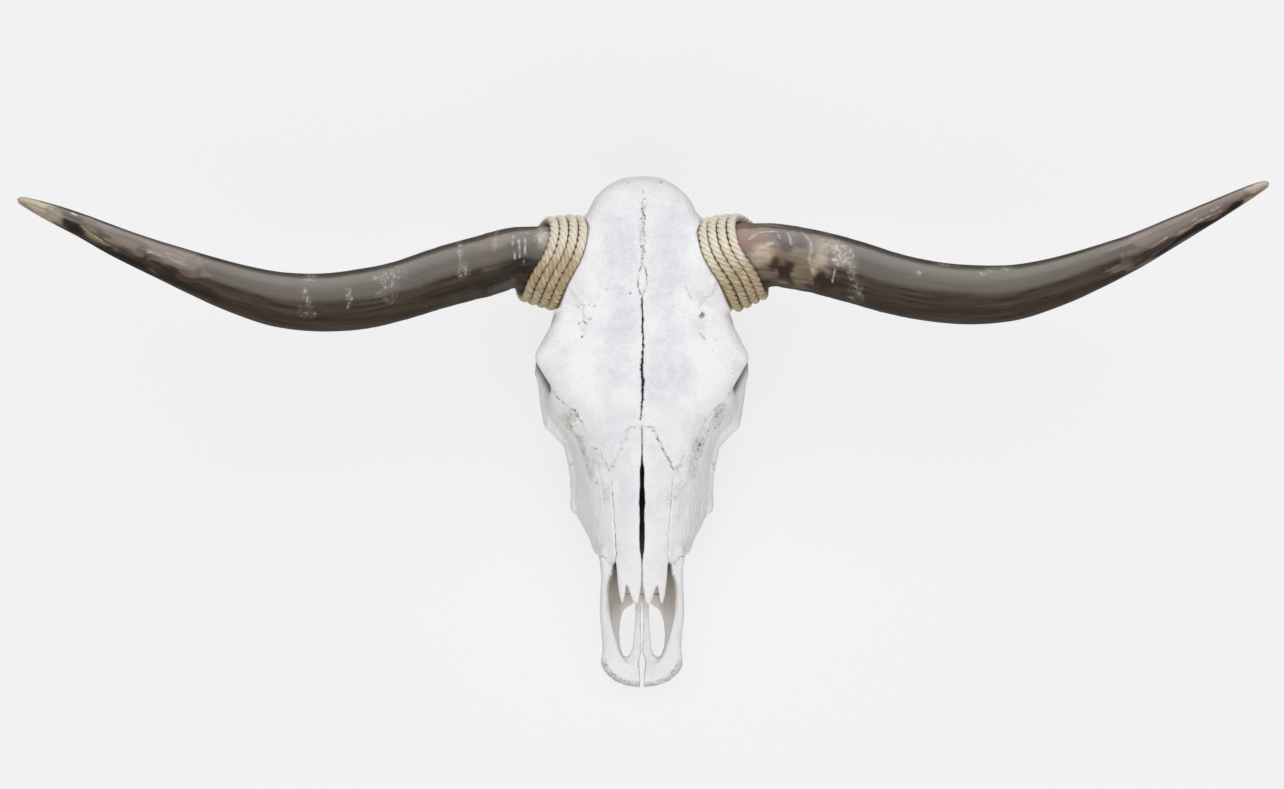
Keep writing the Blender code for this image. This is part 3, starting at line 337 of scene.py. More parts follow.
# Ovals where the bone looks lavender, or whiter if the strength is less than none, as (side, along,
# half length, half breadth, strength). They are partly painted shade and light: lavender in the face's
# hollows and on its sloping sides, whiter along the brow ridges.
THIN_AND_SHADED_BONE = (
    (-24, 165, 60, 20, 0.5), (26, 200, 60, 24, 0.5), (-28, 240, 40, 22, 0.35), (28, 60, 40, 18, 0.3),
    (-26, 66, 34, 18, 0.25), (14, 340, 70, 10, 0.2), (-14, 350, 70, 10, 0.2), (-62, 190, 40, 16, -0.5),
    (66, 200, 40, 18, -0.4), (0, 16, 14, 40, -0.3), (22, 100, 46, 22, 0.6), (-24, 100, 44, 22, 0.5),
    (-70, 222, 20, 12, 0.2), (60, 160, 20, 12, 0.25), (20, 300, 50, 18, 0.35), (-20, 300, 50, 18, 0.3),
    (-40, 132, 22, 18, -0.5), (44, 128, 22, 16, -0.4), (-52, 262, 24, 12, 0.3), (52, 262, 24, 12, 0.3),
    (-40, 462, 44, 6, 1.3), (40, 462, 44, 6, 1.0), (-16, 336, 34, 13, 0.6), (50, 210, 22, 16, 0.4),
    (-70, 118, 26, 14, 0.4), (-28, 66, 26, 16, 0.4), (-22, 232, 22, 14, -0.35),
)
# Ovals of rough, tan bone, in the same numbers.
ROUGH_BONE = (
    (-80, 257, 14, 14, 1.0), (84, 250, 18, 14, 1.0), (-67, 284, 24, 13, 0.7), (61, 283, 17, 11, 0.8),
    (-72, 247, 9, 9, 0.7), (-52, 303, 24, 13, 0.55), (55, 302, 22, 11, 0.45), (-36, 330, 16, 8, 0.45),
    (-60, 154, 13, 7, 0.3), (62, 154, 12, 6, 0.25), (-52, 128, 9, 8, 0.22), (58, 124, 9, 12, 0.2),
    (93, 262, 10, 8, 0.5), (-33, 507, 8, 10, 0.35), (34, 507, 9, 10, 0.35), (0, 50, 42, 4.5, 0.5),
    (0, 18, 10, 20, 0.2), (99, 195, 10, 6, 0.35), (30, 335, 12, 6, 0.3), (-74, 272, 44, 24, 0.3),
    (74, 270, 44, 24, 0.26), (-56, 330, 44, 18, 0.2), (56, 330, 44, 18, 0.18), (-98, 246, 16, 10, 0.25),
    (-39, 465, 12, 5, 0.5), (-38, 440, 14, 4, 0.3), (38, 491, 12, 6, 0.55), (39, 455, 16, 4, 0.25),
    (-36, 500, 10, 8, 0.35), (-41, 460, 50, 7, 0.3), (41, 460, 50, 7, 0.15),
)

# ---- What shows on the horns --------------------------------------------------------------------------
# Patches: kind, from side to side in mm, from angle to angle in degrees round the horn, strength and how
# ragged. The angle is 0 upwards, -90 on the edge towards the poll and 90 on the edge towards the muzzle.
HORN_MARKS = {
    "right": (
        ("pale", -645, -590, -180, 180, 1.0, 7), ("pale", -604, -584, -30, 70, 0.7, 7),
        ("tan", -598, -574, 0, 60, 0.6, 6), ("dark", -589, -566, -75, 60, 0.95, 4),
        ("mauve", -576, -450, -100, 6, 1.0, 16), ("mauve", -572, -535, 10, 70, 0.7, 10),
        ("tan", -570, -526, -12, 40, 1.0, 8), ("tan", -540, -486, 5, 34, 0.6, 12),
        ("dark", -586, -500, 38, 100, 1.0, 6), ("dark", -566, -420, -90, -66, 0.7, 5),
        ("dark", -529, -502, -40, -14, 0.55, 4), ("pale", -504, -466, -26, -8, 0.5, 5),
        ("dark", -520, -430, 26, 62, 0.7, 8), ("chalk", -346, -333, -90, -42, 0.7, 5),
        ("chalk", -347, -339, -30, 14, 0.6, 3), ("chalk", -352, -334, 14, 40, 0.3, 4),
        ("chalk", -304, -299, -24, 16, 0.6, 2), ("chalk", -274, -245, -52, -6, 0.5, 8),
        ("chalk", -266, -252, 5, 22, 0.4, 4), ("chalk", -191, -186, -75, -28, 0.75, 2),
        ("chalk", -190, -180, -20, 14, 0.5, 3), ("pale", -154, -150, -78, -30, 0.5, 2),
        ("tan", -152, -140, -48, -14, 0.5, 7), ("tan", -160, -150, -12, 16, 0.45, 7),
        ("chalk", -107, -97, -78, -20, 1.3, 3), ("chalk", -128, -108, -70, -46, 0.6, 4),
        ("pale", -108, -97, -75, -22, 0.8, 3), ("dark", -136, -108, -10, 30, 0.9, 8),
        ("mauve", -180, -84, -90, -30, 0.3, 20), ("dark", -178, -120, -34, 60, 0.5, 14),
    ),
    "left": (
        ("pale", 617, 642, -180, 180, 1.0, 6), ("pale", 606, 620, 20, 80, 0.7, 6),
        ("mauve", 490, 620, -180, 180, 0.95, 20), ("dark", 585, 612, 34, 80, 1.0, 4),
        ("dark", 520, 592, 40, 90, 1.0, 5), ("tan", 500, 570, 16, 44, 0.8, 6),
        ("dark", 500, 545, 26, 60, 0.8, 5), ("dark", 520, 600, -90, -68, 0.7, 4),
        ("mauve", 76, 180, -180, 46, 0.9, 16), ("rose", 96, 134, -58, -4, 1.0, 7),
        ("rose", 128, 150, -10, 12, 0.4, 8), ("pale", 84, 150, -90, -56, 0.35, 8),
        ("pale", 112, 136, -20, 16, 1.0, 5), ("pale", 176, 190, -40, 30, 0.8, 5),
        ("tan", 158, 176, -14, 44, 1.0, 7), ("tan", 96, 130, 2, 62, 0.9, 12),
        ("plum", 140, 156, -52, -14, 1.0, 5), ("plum", 157, 171, -50, -18, 1.0, 4),
        ("plum", 133, 141, -60, -30, 0.8, 4), ("tan", 134, 184, -2, 58, 0.95, 14),
        ("plum", 133, 141, 2, 26, 0.9, 3), ("plum", 143, 157, 6, 62, 1.0, 6),
        ("plum", 178, 194, 12, 60, 1.0, 5), ("mauve", 176, 202, -76, 18, 0.9, 6),
        ("pale", 194, 217, -52, -6, 0.35, 9), ("chalk", 193, 218, -54, -4, 1.3, 8),
        ("chalk", 212, 222, -22, 12, 0.6, 4), ("chalk", 215, 228, 18, 60, 0.4, 6),
        ("chalk", 281, 286, -38, -24, 1.2, 1.5), ("chalk", 322, 327, -75, -62, 1.0, 1.5),
        ("chalk", 345, 353, -50, -38, 1.0, 2), ("chalk", 352, 378, -72, -50, 0.7, 4),
        ("chalk", 300, 318, -74, -60, 0.5, 3), ("chalk", 577, 588, -7, 6, 1.0, 2),
        ("chalk", 557, 562, -6, 6, 0.9, 1),
    ),
}
# Streaks: kind, half width, strength, and points as (side, angle).
HORN_STREAKS = {
    "right": (
        ("chalk", 0.7, 0.75, ((-133.5, -54), (-133.8, -24))),
        ("chalk", 0.7, 0.9, ((-120.5, -52), (-120.8, -2))),
        ("chalk", 0.6, 0.8, ((-128.4, -34), (-127, -16), (-125.8, 4))),
        ("chalk", 0.5, 0.8, ((-132.6, -24), (-131.2, 2))),
        ("chalk", 0.6, 0.8, ((-110.5, -56), (-110.8, -30))),
        ("chalk", 0.6, 0.7, ((-124, -54), (-114, -58), (-104, -62))),
        ("chalk", 0.5, 0.5, ((-122.6, 8), (-122, 18))),
        ("pale", 0.9, 0.8, ((-570, 8), (-558, 24), (-548, 26))),
        ("pale", 0.8, 0.7, ((-503, -6), (-485, -14), (-466, -20))),
        ("dark", 0.8, 0.8, ((-558, 14), (-530, 26), (-500, 34))),
        # The chalk streak at side -577.5 to -574, angle -40, is a painted glint in the chalk colour.
        ("chalk", 1.2, 1.4, ((-577.5, -39), (-574, -40))), ("tan", 0.8, 0.6, ((-158, -76), (-156, -30))),
        ("chalk", 0.5, 0.4, ((-187, -30), (-190, 4))), ("chalk", 0.4, 0.5, ((-344, -26), (-341, 10))),
    ),
    "left": (
        ("chalk", 0.8, 1.0, ((112, -28), (120, -40), (128, -45), (138, -48))),
        ("chalk", 0.6, 0.6, ((122, -54), (140, -53))),
        ("chalk", 0.6, 0.8, ((140, -50), (143, -32))),
        ("chalk", 1.0, 0.9, ((151, -50), (153, -36), (154, -24))),
        ("pale", 1.6, 0.9, ((166, -58), (173, -36), (175.5, -24), (172.5, -4), (176, 20))),
        ("chalk", 0.7, 0.6, ((170, -52), (174, -36), (175, -24))),
        ("chalk", 1.8, 1.2, ((131, -19), (135, -22))),
        ("chalk", 0.9, 0.7, ((131, -18), (124, -10), (118, -2))),
        ("pale", 0.8, 0.8, ((546, 21), (560, 16), (587, 27))),
        ("pale", 0.7, 0.8, ((516, 20), (533, 13))), ("dark", 0.9, 0.8, ((560, 24), (600, 34))),
        ("chalk", 0.7, 0.7, ((199, 4), (196, 30))),
        ("chalk", 0.7, 0.8, ((198, -40), (206, -26), (216, -8))),
    ),
}

# ---- Camera, floor and light --------------------------------------------------------------------------
FACE_MIDDLE = (0, 226, 0)  # the place on the skull that the camera looks straight down on
CAMERA_DISTANCE = 3500
PHOTO_WIDTH = 1335  # what the picture's width spans in the plane of the face
SENSOR = 36.0
FLOOR_DROP = 0.4 * MM  # how far the floor lies under the skull's lowest places
WHITE = (1.0, 1.0, 1.0, 1.0)


# ---- Colours and nodes --------------------------------------------------------------------------------
def linear(colour):
    """An sRGB hex colour as the linear RGBA that a shader takes."""
    channels = (int(colour[i : i + 2], 16) / 255 for i in (1, 3, 5))
    return tuple(c / 12.92 if c <= 0.04045 else ((c + 0.055) / 1.055) ** 2.4 for c in channels) + (1.0,)


def feed(made, inputs):
    """Gives a node's sockets, by name or number, a value, or the node, or (node, output), that feeds it."""
    for socket, value in inputs.items():
        if isinstance(value, bpy.types.Node):
            value = (value, 0)
        if isinstance(value, tuple) and isinstance(value[0], bpy.types.Node):
            made.id_data.links.new(value[0].outputs[value[1]], made.inputs[socket])
        else:
            made.inputs[socket].default_value = value


def node(tree, kind, inputs=None, **settings):
    """Adds a shader node with its settings and links. Map Range takes a value, its range and the new range
    as sockets 0 to 4. A colour Mix takes its share as 0 and its colours as 6 and 7, and gives output 2."""
    made = tree.nodes.new(f"ShaderNode{kind}")
    for name, value in settings.items():
        setattr(made, name, value)
    feed(made, inputs or {})
    return made


def new_material(name):
    made = bpy.data.materials.new(name)
    made.use_nodes = True
    tree = made.node_tree
    return made, tree, tree.nodes["Principled BSDF"]


# ---- Curves, tables and noise -------------------------------------------------------------------------
def smooth(stations):
    """A smooth curve through (place, value) pairs, where a value may be a row of numbers."""
    places = np.array([place for place, _ in stations], float)
    values = np.array([value for _, value in stations], float)
    slopes = np.gradient(values, places, axis=0)

    def at(place):
        place = np.clip(np.asarray(place, float), places[0], places[-1])
        i = np.clip(np.searchsorted(places, place) - 1, 0, len(places) - 2)
        step = places[i + 1] - places[i]
        t = (place - places[i]) / step
        tail = (...,) + (None,) * (values.ndim - 1)
        t, step = t[tail], step[tail]
        bend = (t**3 - 2 * t**2 + t) * slopes[i] + (t**3 - t**2) * slopes[i + 1]
        return values[i] + (3 * t**2 - 2 * t**3) * (values[i + 1] - values[i]) + step * bend

    return at


def table(columns, rows):
    """A smooth surface through a table: a grid of values for places down the rows and across the columns."""
    along = smooth(tuple(rows.items()))

    def at(row_places, column_places):
        across = smooth(tuple(zip(columns, along(row_places).T)))
        return across(column_places).T

    return at


def steepness(grid, rows, columns):
    """How much longer a step straight along an axis is than the shortest way to the surface."""
    rise, run = np.gradient(grid, rows, columns)
    return np.sqrt(1 + rise**2 + run**2)


def eased(value, low, high):
    """0 below low, 1 above high, and a smooth rise between them."""
    t = np.clip((value - low) / (high - low), 0, 1)
    return t * t * (3 - 2 * t)


def unit(rows):
    """Rows of numbers, each scaled to length 1."""
    return rows / np.linalg.norm(rows, axis=1)[:, None]


def square_to(rows, ways):
    """Rows at length 1, without what each has along its way."""
    return unit(rows - np.sum(rows * ways, 1)[:, None] * ways)


LATTICE = np.random.default_rng(11).uniform(-1, 1, (64, 64, 64)).astype(np.float32)


def noise(place, size, seed=0):
    """Smooth noise from -1 to 1 with lumps of the given size in millimetres, or sizes along three axes."""
    place = np.asarray(place, np.float32) / np.asarray(size, np.float32) + 17.37 * seed
    cell = np.floor(place)
    t = place - cell
    t = t * t * (3 - 2 * t)
    cell = cell.astype(np.int32)
    total = np.zeros(len(place), np.float32)
    for corner in np.ndindex(2, 2, 2):
        share = np.ones(len(place), np.float32)
        for i in range(3):
            share *= t[:, i] if corner[i] else 1 - t[:, i]
        at = (cell + corner) & 63
        total += share * LATTICE[at[:, 0], at[:, 1], at[:, 2]]
    return total


def cell_distance(place, size, seed=0):
    """Distance in millimetres to the nearest of scattered points, one in each cube of the given size."""
    place = np.asarray(place, np.float32) / size
    cell = np.floor(place).astype(np.int32)
    nearest = np.full(len(place), 9.0, np.float32)
    for step in np.ndindex(3, 3, 3):
        near = cell + np.array(step) - 1
        apart = 0
        for i in range(3):
            at = (near + 13 * i + seed) & 63
            point = near[:, i] + 0.5 + 0.5 * LATTICE[at[:, 0], at[:, 1], at[:, 2]]
            apart += (point - place[:, i]) ** 2
        nearest = np.minimum(nearest, apart)
    return np.sqrt(nearest) * size


# ---- Clay: a field of distances -----------------------------------------------------------------------
class Clay:
    """Distances to a body's surface, negative inside, on a grid over the left half of the skull."""

    def __init__(self, axes, field=None):
        self.axes = axes
        self.field = np.full([len(axis) for axis in axes], 60.0, np.float32) if field is None else field

    @classmethod
    def over(cls, low, high, spacing):
        return cls([np.arange(a, b + spacing, spacing) for a, b in zip(low, high)])

    def both_halves(self):
        """The clay with its left half mirrored over the midline."""
        sides = self.axes[0]
        axes = [np.concatenate((-sides[:0:-1], sides)), *self.axes[1:]]
        return Clay(axes, np.concatenate((self.field[:0:-1], self.field)))

    def grids(self, cut=(slice(None),) * 3):
        """The coordinates inside a cut of the grid, side by side."""
        grids = np.meshgrid(*[axis[part] for axis, part in zip(self.axes, cut)], indexing="ij", sparse=True)
        return [grid.astype(np.float32) for grid in grids]

    def window(self, low, high):
        ends = [np.searchsorted(axis, (a, b)) for axis, a, b in zip(self.axes, low, high)]
        cut = tuple(slice(a, b) for a, b in ends)
        return cut, self.grids(cut)

    def add(self, shape, blend=6.0):
        low, high, distance = shape
        cut, place = self.window(np.array(low) - 2 * blend, np.array(high) + 2 * blend)
        self.field[cut] = joined(self.field[cut], distance(*place), blend)

    def carve(self, shape, blend=3.0):
        low, high, distance = shape
        cut, place = self.window(np.array(low) - 2 * blend, np.array(high) + 2 * blend)
        self.field[cut] = -joined(-self.field[cut], distance(*place), blend)


def joined(a, b, blend):
    """The nearer of two distances, with a fillet where they are alike."""
    return np.minimum(a, b) - np.maximum(blend - np.abs(a - b), 0) ** 2 / (4 * blend)


def within(*distances, blend=4.0):
    """What lies inside every one of several surfaces."""
    inside = -distances[0]
    for distance in distances[1:]:
        inside = joined(inside, -distance, blend)
    return -inside


def without(body, room, blend=0.6):
    """A body with some room cut out of it."""
    return -joined(-body, room, blend)


def ball(centre, radii):
    centre, radii = np.array(centre, float), np.array(radii, float)

    def distance(*place):
        near = sum(((p - c) / r) ** 2 for p, c, r in zip(place, centre, radii)) ** 0.5
        far = sum(((p - c) / r**2) ** 2 for p, c, r in zip(place, centre, radii)) ** 0.5
        return near * (near - 1) / np.maximum(far, 1e-6)

    return centre - radii, centre + radii, distance


def rod(*stations, flat=1.0):
    """A chain of tapering rods through (side, along, up, radius); flat squeezes it sideways."""
    stations = np.array(stations, float)
    reach = stations[:, 3].max()

    def distance(*place):
        nearest = None
        for start, end in zip(stations, stations[1:]):
            way = (end - start)[:3]
            offset = [p - c for p, c in zip(place, start)]
            t = np.clip(sum(o * w for o, w in zip(offset, way)) / way.dot(way), 0, 1)
            apart = [o - t * w for o, w in zip(offset, way)]
            gap = np.sqrt((apart[0] / flat) ** 2 + apart[1] ** 2 + apart[2] ** 2)
            gap = gap - (start[3] + t * (end[3] - start[3]))
            nearest = gap if nearest is None else np.minimum(nearest, gap)
        return nearest

    return stations[:, :3].min(0) - reach, stations[:, :3].max(0) + reach, distance


def block(centre, size, rounding):
    centre, half = np.array(centre, float), np.array(size, float) / 2

    def distance(*place):
        beyond = [np.abs(p - c) - (h - rounding) for p, c, h in zip(place, centre, half)]
        outside = sum(np.maximum(b, 0) ** 2 for b in beyond) ** 0.5
        return outside + np.minimum(np.maximum(np.maximum(beyond[0], beyond[1]), beyond[2]), 0) - rounding

    return centre - half, centre + half, distance


def outline_distance(outline, across, down):
    """Distance to a closed outline, negative inside, on the grid of two axes."""
    x, y = np.meshgrid(across, down, indexing="ij")
    nearest = np.full(x.shape, 1e6)
    inside = np.zeros(x.shape, bool)
    points = np.array(outline, float)
    for (x0, y0), (x1, y1) in zip(points, np.roll(points, -1, axis=0)):
        way = np.array((x1 - x0, y1 - y0))
        t = np.clip(((x - x0) * way[0] + (y - y0) * way[1]) / max(way.dot(way), 1e-9), 0, 1)
        nearest = np.minimum(nearest, np.hypot(x - x0 - t * way[0], y - y0 - t * way[1]))
        crosses = (y0 > y) != (y1 > y)
        reach = x0 + (y - y0) / (y1 - y0 if y1 != y0 else 1e-9) * (x1 - x0)
        inside ^= crosses & (x < reach)
    return np.where(inside, -nearest, nearest).astype(np.float32)


def surface_of(field, axes):
    """Points in millimetres and four-sided faces where a field is zero."""
    reach = 6.0
    grid = openvdb.FloatGrid(reach)
    grid.copyFromArray(np.clip(field, -reach, reach).astype(np.float32))
    points, _, quads = grid.convertToPolygons(isovalue=0.0, adaptivity=0.0)
    places = [np.interp(points[:, i], np.arange(len(axis)), axis) for i, axis in enumerate(axes)]
    return np.stack(places, 1), quads.astype(np.int32)


# ---- The bones ----------------------------------------------------------------------------------------
def top_heights(sides, alongs):
    """The upper surface's height on the grid of two axes."""
    return table(SIDES, TOP_HEIGHTS)(alongs, sides).T


def nasal_outline(sides, alongs):
    """Distance to the outline of one nasal bone on the grid of two axes, as a sheet of the clay's grid."""
    return outline_distance(NASAL_OUTLINE, sides, alongs)[:, :, None]


def add_main_mass(clay):
    """Forehead, braincase, occiput and upper jaws, from the tables of offsets."""
    sides, alongs, ups = clay.axes
    breadth = table(HEIGHTS[::-1], {k: v[::-1] for k, v in HALF_BREADTHS.items()})(alongs, ups)
    top = top_heights(sides, alongs)
    back = table(BACK_SIDES, BACK_OF_SKULL)(ups, sides).T
    base = smooth(BASE_OF_SKULL)(alongs)
    side, along, up = clay.grids()
    beside = (side - breadth[None]) / steepness(breadth, alongs, ups)[None]
    above = (up - top[:, :, None]) / steepness(top, sides, alongs)[:, :, None]
    behind = (back[:, None, :] - along) / steepness(back, sides, ups)[:, None, :]
    below = base[None, :, None] - up
    body = within(*(d.astype(np.float32) for d in (beside, above, behind, below, along - 404)), blend=9.0)
    clay.field = np.minimum(clay.field, body)


def add_muzzle(clay):
    """The two premaxillae as one mass: side bars, body and floor of the nose."""
    side, along, up = clay.grids()
    alongs = clay.axes[1]
    outside, edge, base = (smooth(line)(alongs) for line in (MUZZLE_OUTSIDE, MUZZLE_EDGE, BASE_OF_SKULL))
    grade = np.sqrt(1 + np.gradient(outside, alongs) ** 2)
    beside = (side - outside[None, :, None]) / grade[None, :, None]
    body = within(beside, up - edge[None, :, None], base[None, :, None] - up, 385 - along, blend=7.0)
    clay.field = joined(clay.field, body.astype(np.float32), 4.0)


def nose_hollow(clay):
    """The nasal cavity, which opens in front and through the gap between the nasal bones."""
    sides, alongs, _ = clay.axes
    side, _, up = clay.grids()
    roof = top_heights(sides, alongs) - NASAL_THICKNESS
    roof[:, alongs > 404] = 60
    edge = smooth(MUZZLE_EDGE)(alongs)[None, :, None]
    line = smooth(NOSE_OPENING)(alongs)
    opening = line[None, :, None] - 0.42 * np.clip(edge - up - 6, 0, 60)
    grade = np.sqrt(1 + np.gradient(line, alongs) ** 2)[None, :, None]
    floor = smooth(NOSE_FLOOR)(alongs)[None, :, None]
    hollow = within((side - opening) / grade, up - roof[:, :, None], floor - up, blend=5.0)
    return hollow.astype(np.float32)


def add_nasal_roof(clay):
    """The nasal bones, and their free ends out over the open nose."""
    sides, alongs, _ = clay.axes
    _, along, up = clay.grids()
    top = top_heights(sides, alongs)
    outline = nasal_outline(sides, alongs)
    sheet = np.abs(up - top[:, :, None] + NASAL_THICKNESS / 2) - NASAL_THICKNESS / 2
    roof = within(sheet.astype(np.float32), outline, 396 - along, blend=2.5)
    clay.field = joined(clay.field, roof.astype(np.float32), 1.0)


def add_orbit(clay):
    """The bony ring round the eye, and the socket inside it."""
    centre, axis = np.array(ORBIT_CENTRE, float), np.array(ORBIT_AXIS)
    axis = axis / np.linalg.norm(axis)
    across = np.cross(axis, (0, 0, 1))
    across = across / np.linalg.norm(across)
    upright = np.cross(across, axis)
    ring = []
    for angle in np.linspace(0.45 * math.pi, 1.55 * math.pi, 15):
        spoke = math.cos(angle) * across + math.sin(angle) * upright
        ring.append((*(centre + (ORBIT_RADIUS + 4.5) * spoke - 2 * axis), 5.0))
    clay.add(rod(*ring), blend=9)
    clay.carve(
        rod(
            (*(centre + 14 * axis), ORBIT_RADIUS), (*(centre - 2 * axis), ORBIT_RADIUS),
            (70, 200, -54, 19), (48, 190, -60, 11), (34, 184, -66, 6),
        ),
        blend=3,
    )
    # Under its upper rim the socket falls in sharply, which leaves a dark wedge beside the brow.
    clay.carve(
        rod((115, 192, -34, 3), (111, 202, -37, 5), (105.5, 212, -41, 6.5), (99, 219, -45, 4.5)), blend=1.5
    )


def add_cheek_arch(clay):
    """Zygomatic arch, from the jaw joint to the facial tuberosity."""
    behind = (
        (74, 98, -122, 11), (84, 122, -118, 9), (92, 150, -112, 9), (100, 178, -106, 9.5),
        (106, 203, -98, 10),
    )
    ahead = (
        (106, 203, -98, 9), (102, 232, -92, 10), (97, 254, -86, 11), (86, 266, -85, 10), (77, 280, -84, 8),
        (71.5, 312, -86, 7), (70, 343, -86, 6),
    )
    brow = ((76, 138, -13, 7), (85, 161, -14, 7), (92.5, 174, -15, 7), (101.5, 188.5, -17, 6.5))
    clay.add(rod(*behind, flat=0.6), blend=9)
    clay.add(rod(*ahead, flat=0.7), blend=7)
    clay.add(ball((71.5, 345, -89), (4.5, 7, 8)), blend=5)
    clay.add(rod(*brow), blend=6)
    clay.add(rod((100, 184, -22, 6), (104, 186, -50, 6.5), (102, 192, -92, 8), flat=0.75), blend=8)
    clay.add(rod((103, 180, -94, 8), (106, 190, -88, 7), (106.5, 203, -91, 7)), blend=5)


def add_skull_base(clay):
    """Condyles, jugular processes, ear bullae, jaw joints and the floor of the braincase."""
    clay.add(ball((26, 35, -171), (15, 19, 25)), blend=9)
    clay.add(rod((15, 52, -186, 8), (29, 26, -164, 9)), blend=8)
    clay.add(rod((62, 56, -150, 15), (58, 57, -185, 9), (54, 56, -222, 5), flat=0.7), blend=8)
    clay.add(rod((0, 52, -180, 18), (0, 120, -176, 13), (0, 175, -158, 9)), blend=8)
    clay.add(ball((14, 82, -186), (8, 12, 8)), blend=5)
    clay.add(ball((39, 92, -177), (9, 20, 18)), blend=9)
    clay.add(rod((42, 100, -190, 5), (44, 112, -204, 2.5)), blend=4)
    clay.add(ball((76, 102, -128), (17, 15, 10)), blend=8)
    clay.add(rod((20, 178, -149, 14), (22, 215, -143, 14), (25, 262, -137, 14), flat=0.33), blend=6)
    clay.add(rod((24, 222, -150, 4), (26, 214, -163, 2.5)), blend=3)
    clay.carve(rod((0, -20, -158, 16), (0, 40, -158, 16), (0, 80, -150, 13)), blend=4)
    clay.carve(rod((0, 196, -170, 11), (0, 225, -150, 13), (0, 262, -136, 13)), blend=5)
    clay.carve(rod((78, 78, -140, 4.5), (58, 84, -150, 4.5)), blend=2)  # the ear passage
    clay.carve(rod((40, 62, -176, 4), (30, 72, -182, 5)), blend=2)
    clay.carve(rod((66, 118, -134, 6), (50, 128, -150, 6)), blend=3)


def floor_height(along):
    return JUGULAR_TIP[2] + FLOOR_SLOPE * (along - JUGULAR_TIP[1])


def skull_clay(spacing):
    """The whole skull without its teeth."""
    clay = Clay.over((0, -14, -226), (124, 550, 18), spacing)
    underside = np.arange(-226, -100, 1.4 * spacing)  # which shows less, so its grid is coarser
    upper_part = np.arange(underside[-1] + spacing, 18, spacing)
    clay = Clay([*clay.axes[:2], np.concatenate((underside, upper_part))])
    add_main_mass(clay)
    clay.add(rod((46, 84, -40, 36), (70, 89, -38, 43.5), (100, 86, -28, 41)), blend=16)
    clay.add(rod((66, 106, -34, 36), (96, 102, -26, 35)), blend=10)
    add_skull_base(clay)
    add_cheek_arch(clay)
    add_orbit(clay)
    clay.add(
        rod((44, 390, -120, 9), (50, 362, -122, 12), (55, 325, -126, 14), (56, 275, -132, 14)), blend=9
    )
    clay.carve(rod((75, 377, -100, 3.5), (52, 366, -98, 4)), blend=2)  # the infraorbital foramen
    add_muzzle(clay)
    hollow = nose_hollow(clay)
    clay.field = without(clay.field, hollow, 2.0)
    carve_palate(clay)
    add_nasal_roof(clay)
    _, along, up = clay.grids()
    clay.field = np.maximum(clay.field, (floor_height(along) - up) * math.cos(FACE_TILT))
    return clay, hollow


def carve_palate(clay):
    """The palatine fissures, and the slit between the premaxillae."""
    sides, alongs, _ = clay.axes
    side, along, up = clay.grids()
    deep = np.abs(up + 95) - 30
    hole = outline_distance(PALATE_FISSURE, sides, alongs)[:, :, None]
    clay.field = without(clay.field, within(hole, deep, blend=2.0), 2.0)
    slit = smooth(PREMAXILLA_GAP)(alongs)
    gap = within(side - slit[None, :, None], 447 - along, deep, blend=0.8)
    clay.field = without(clay.field, gap.astype(np.float32), 0.8)


def nasal_gap(along):
    """Half the gap between the nasal bones, with a worn, wavy edge where it is open."""
    line = smooth(NASAL_GAP)(along)
    waves = 0.3 * np.sin(along / 2.6) * np.sin(along / 7.1) + 0.22 * np.sin(along / 5.3 + 1)
    return line + waves * eased(line, 0.9, 1.8) * (1 - eased(along, 396, 400))


def split_bones(clay):
    """The fields of the cranium, one nasal bone and one premaxilla, parted along their sutures."""
    sides, alongs, ups = clay.axes
    side, along, up = clay.grids()
    top = top_heights(sides, alongs)
    under = (top - NASAL_THICKNESS)[:, :, None].astype(np.float32) - up
    outline = nasal_outline(sides, alongs)
    gap = nasal_gap(alongs).astype(np.float32)[None, :, None]
    # A shallow joint, where the nasal bone lies on its neighbours' edge.
    ledge = 3.0 * eased(top[:, :, None] - up, 0.6, 1.8) * (1 - eased(along, 394, 402))
    nasal = within(clay.field, outline + ledge, under, np.maximum(gap, 0.25) - side, blend=0.2)
    free = 3.0 * eased(along, 400, 410)  # the tips of the nasal bones stand clear
    seam = 0.12
    room = np.maximum(outline + ledge * (1 - free / 3) - seam - free, under - seam - free)
    rest = without(clay.field, room, 0.2)
    premaxilla_side = outline_distance(PREMAXILLA_SIDE, alongs, ups)[None]
    premaxilla = within(rest, premaxilla_side, blend=0.2)
    cranium = without(rest, premaxilla_side - seam, 0.2)
    return cranium, nasal, premaxilla


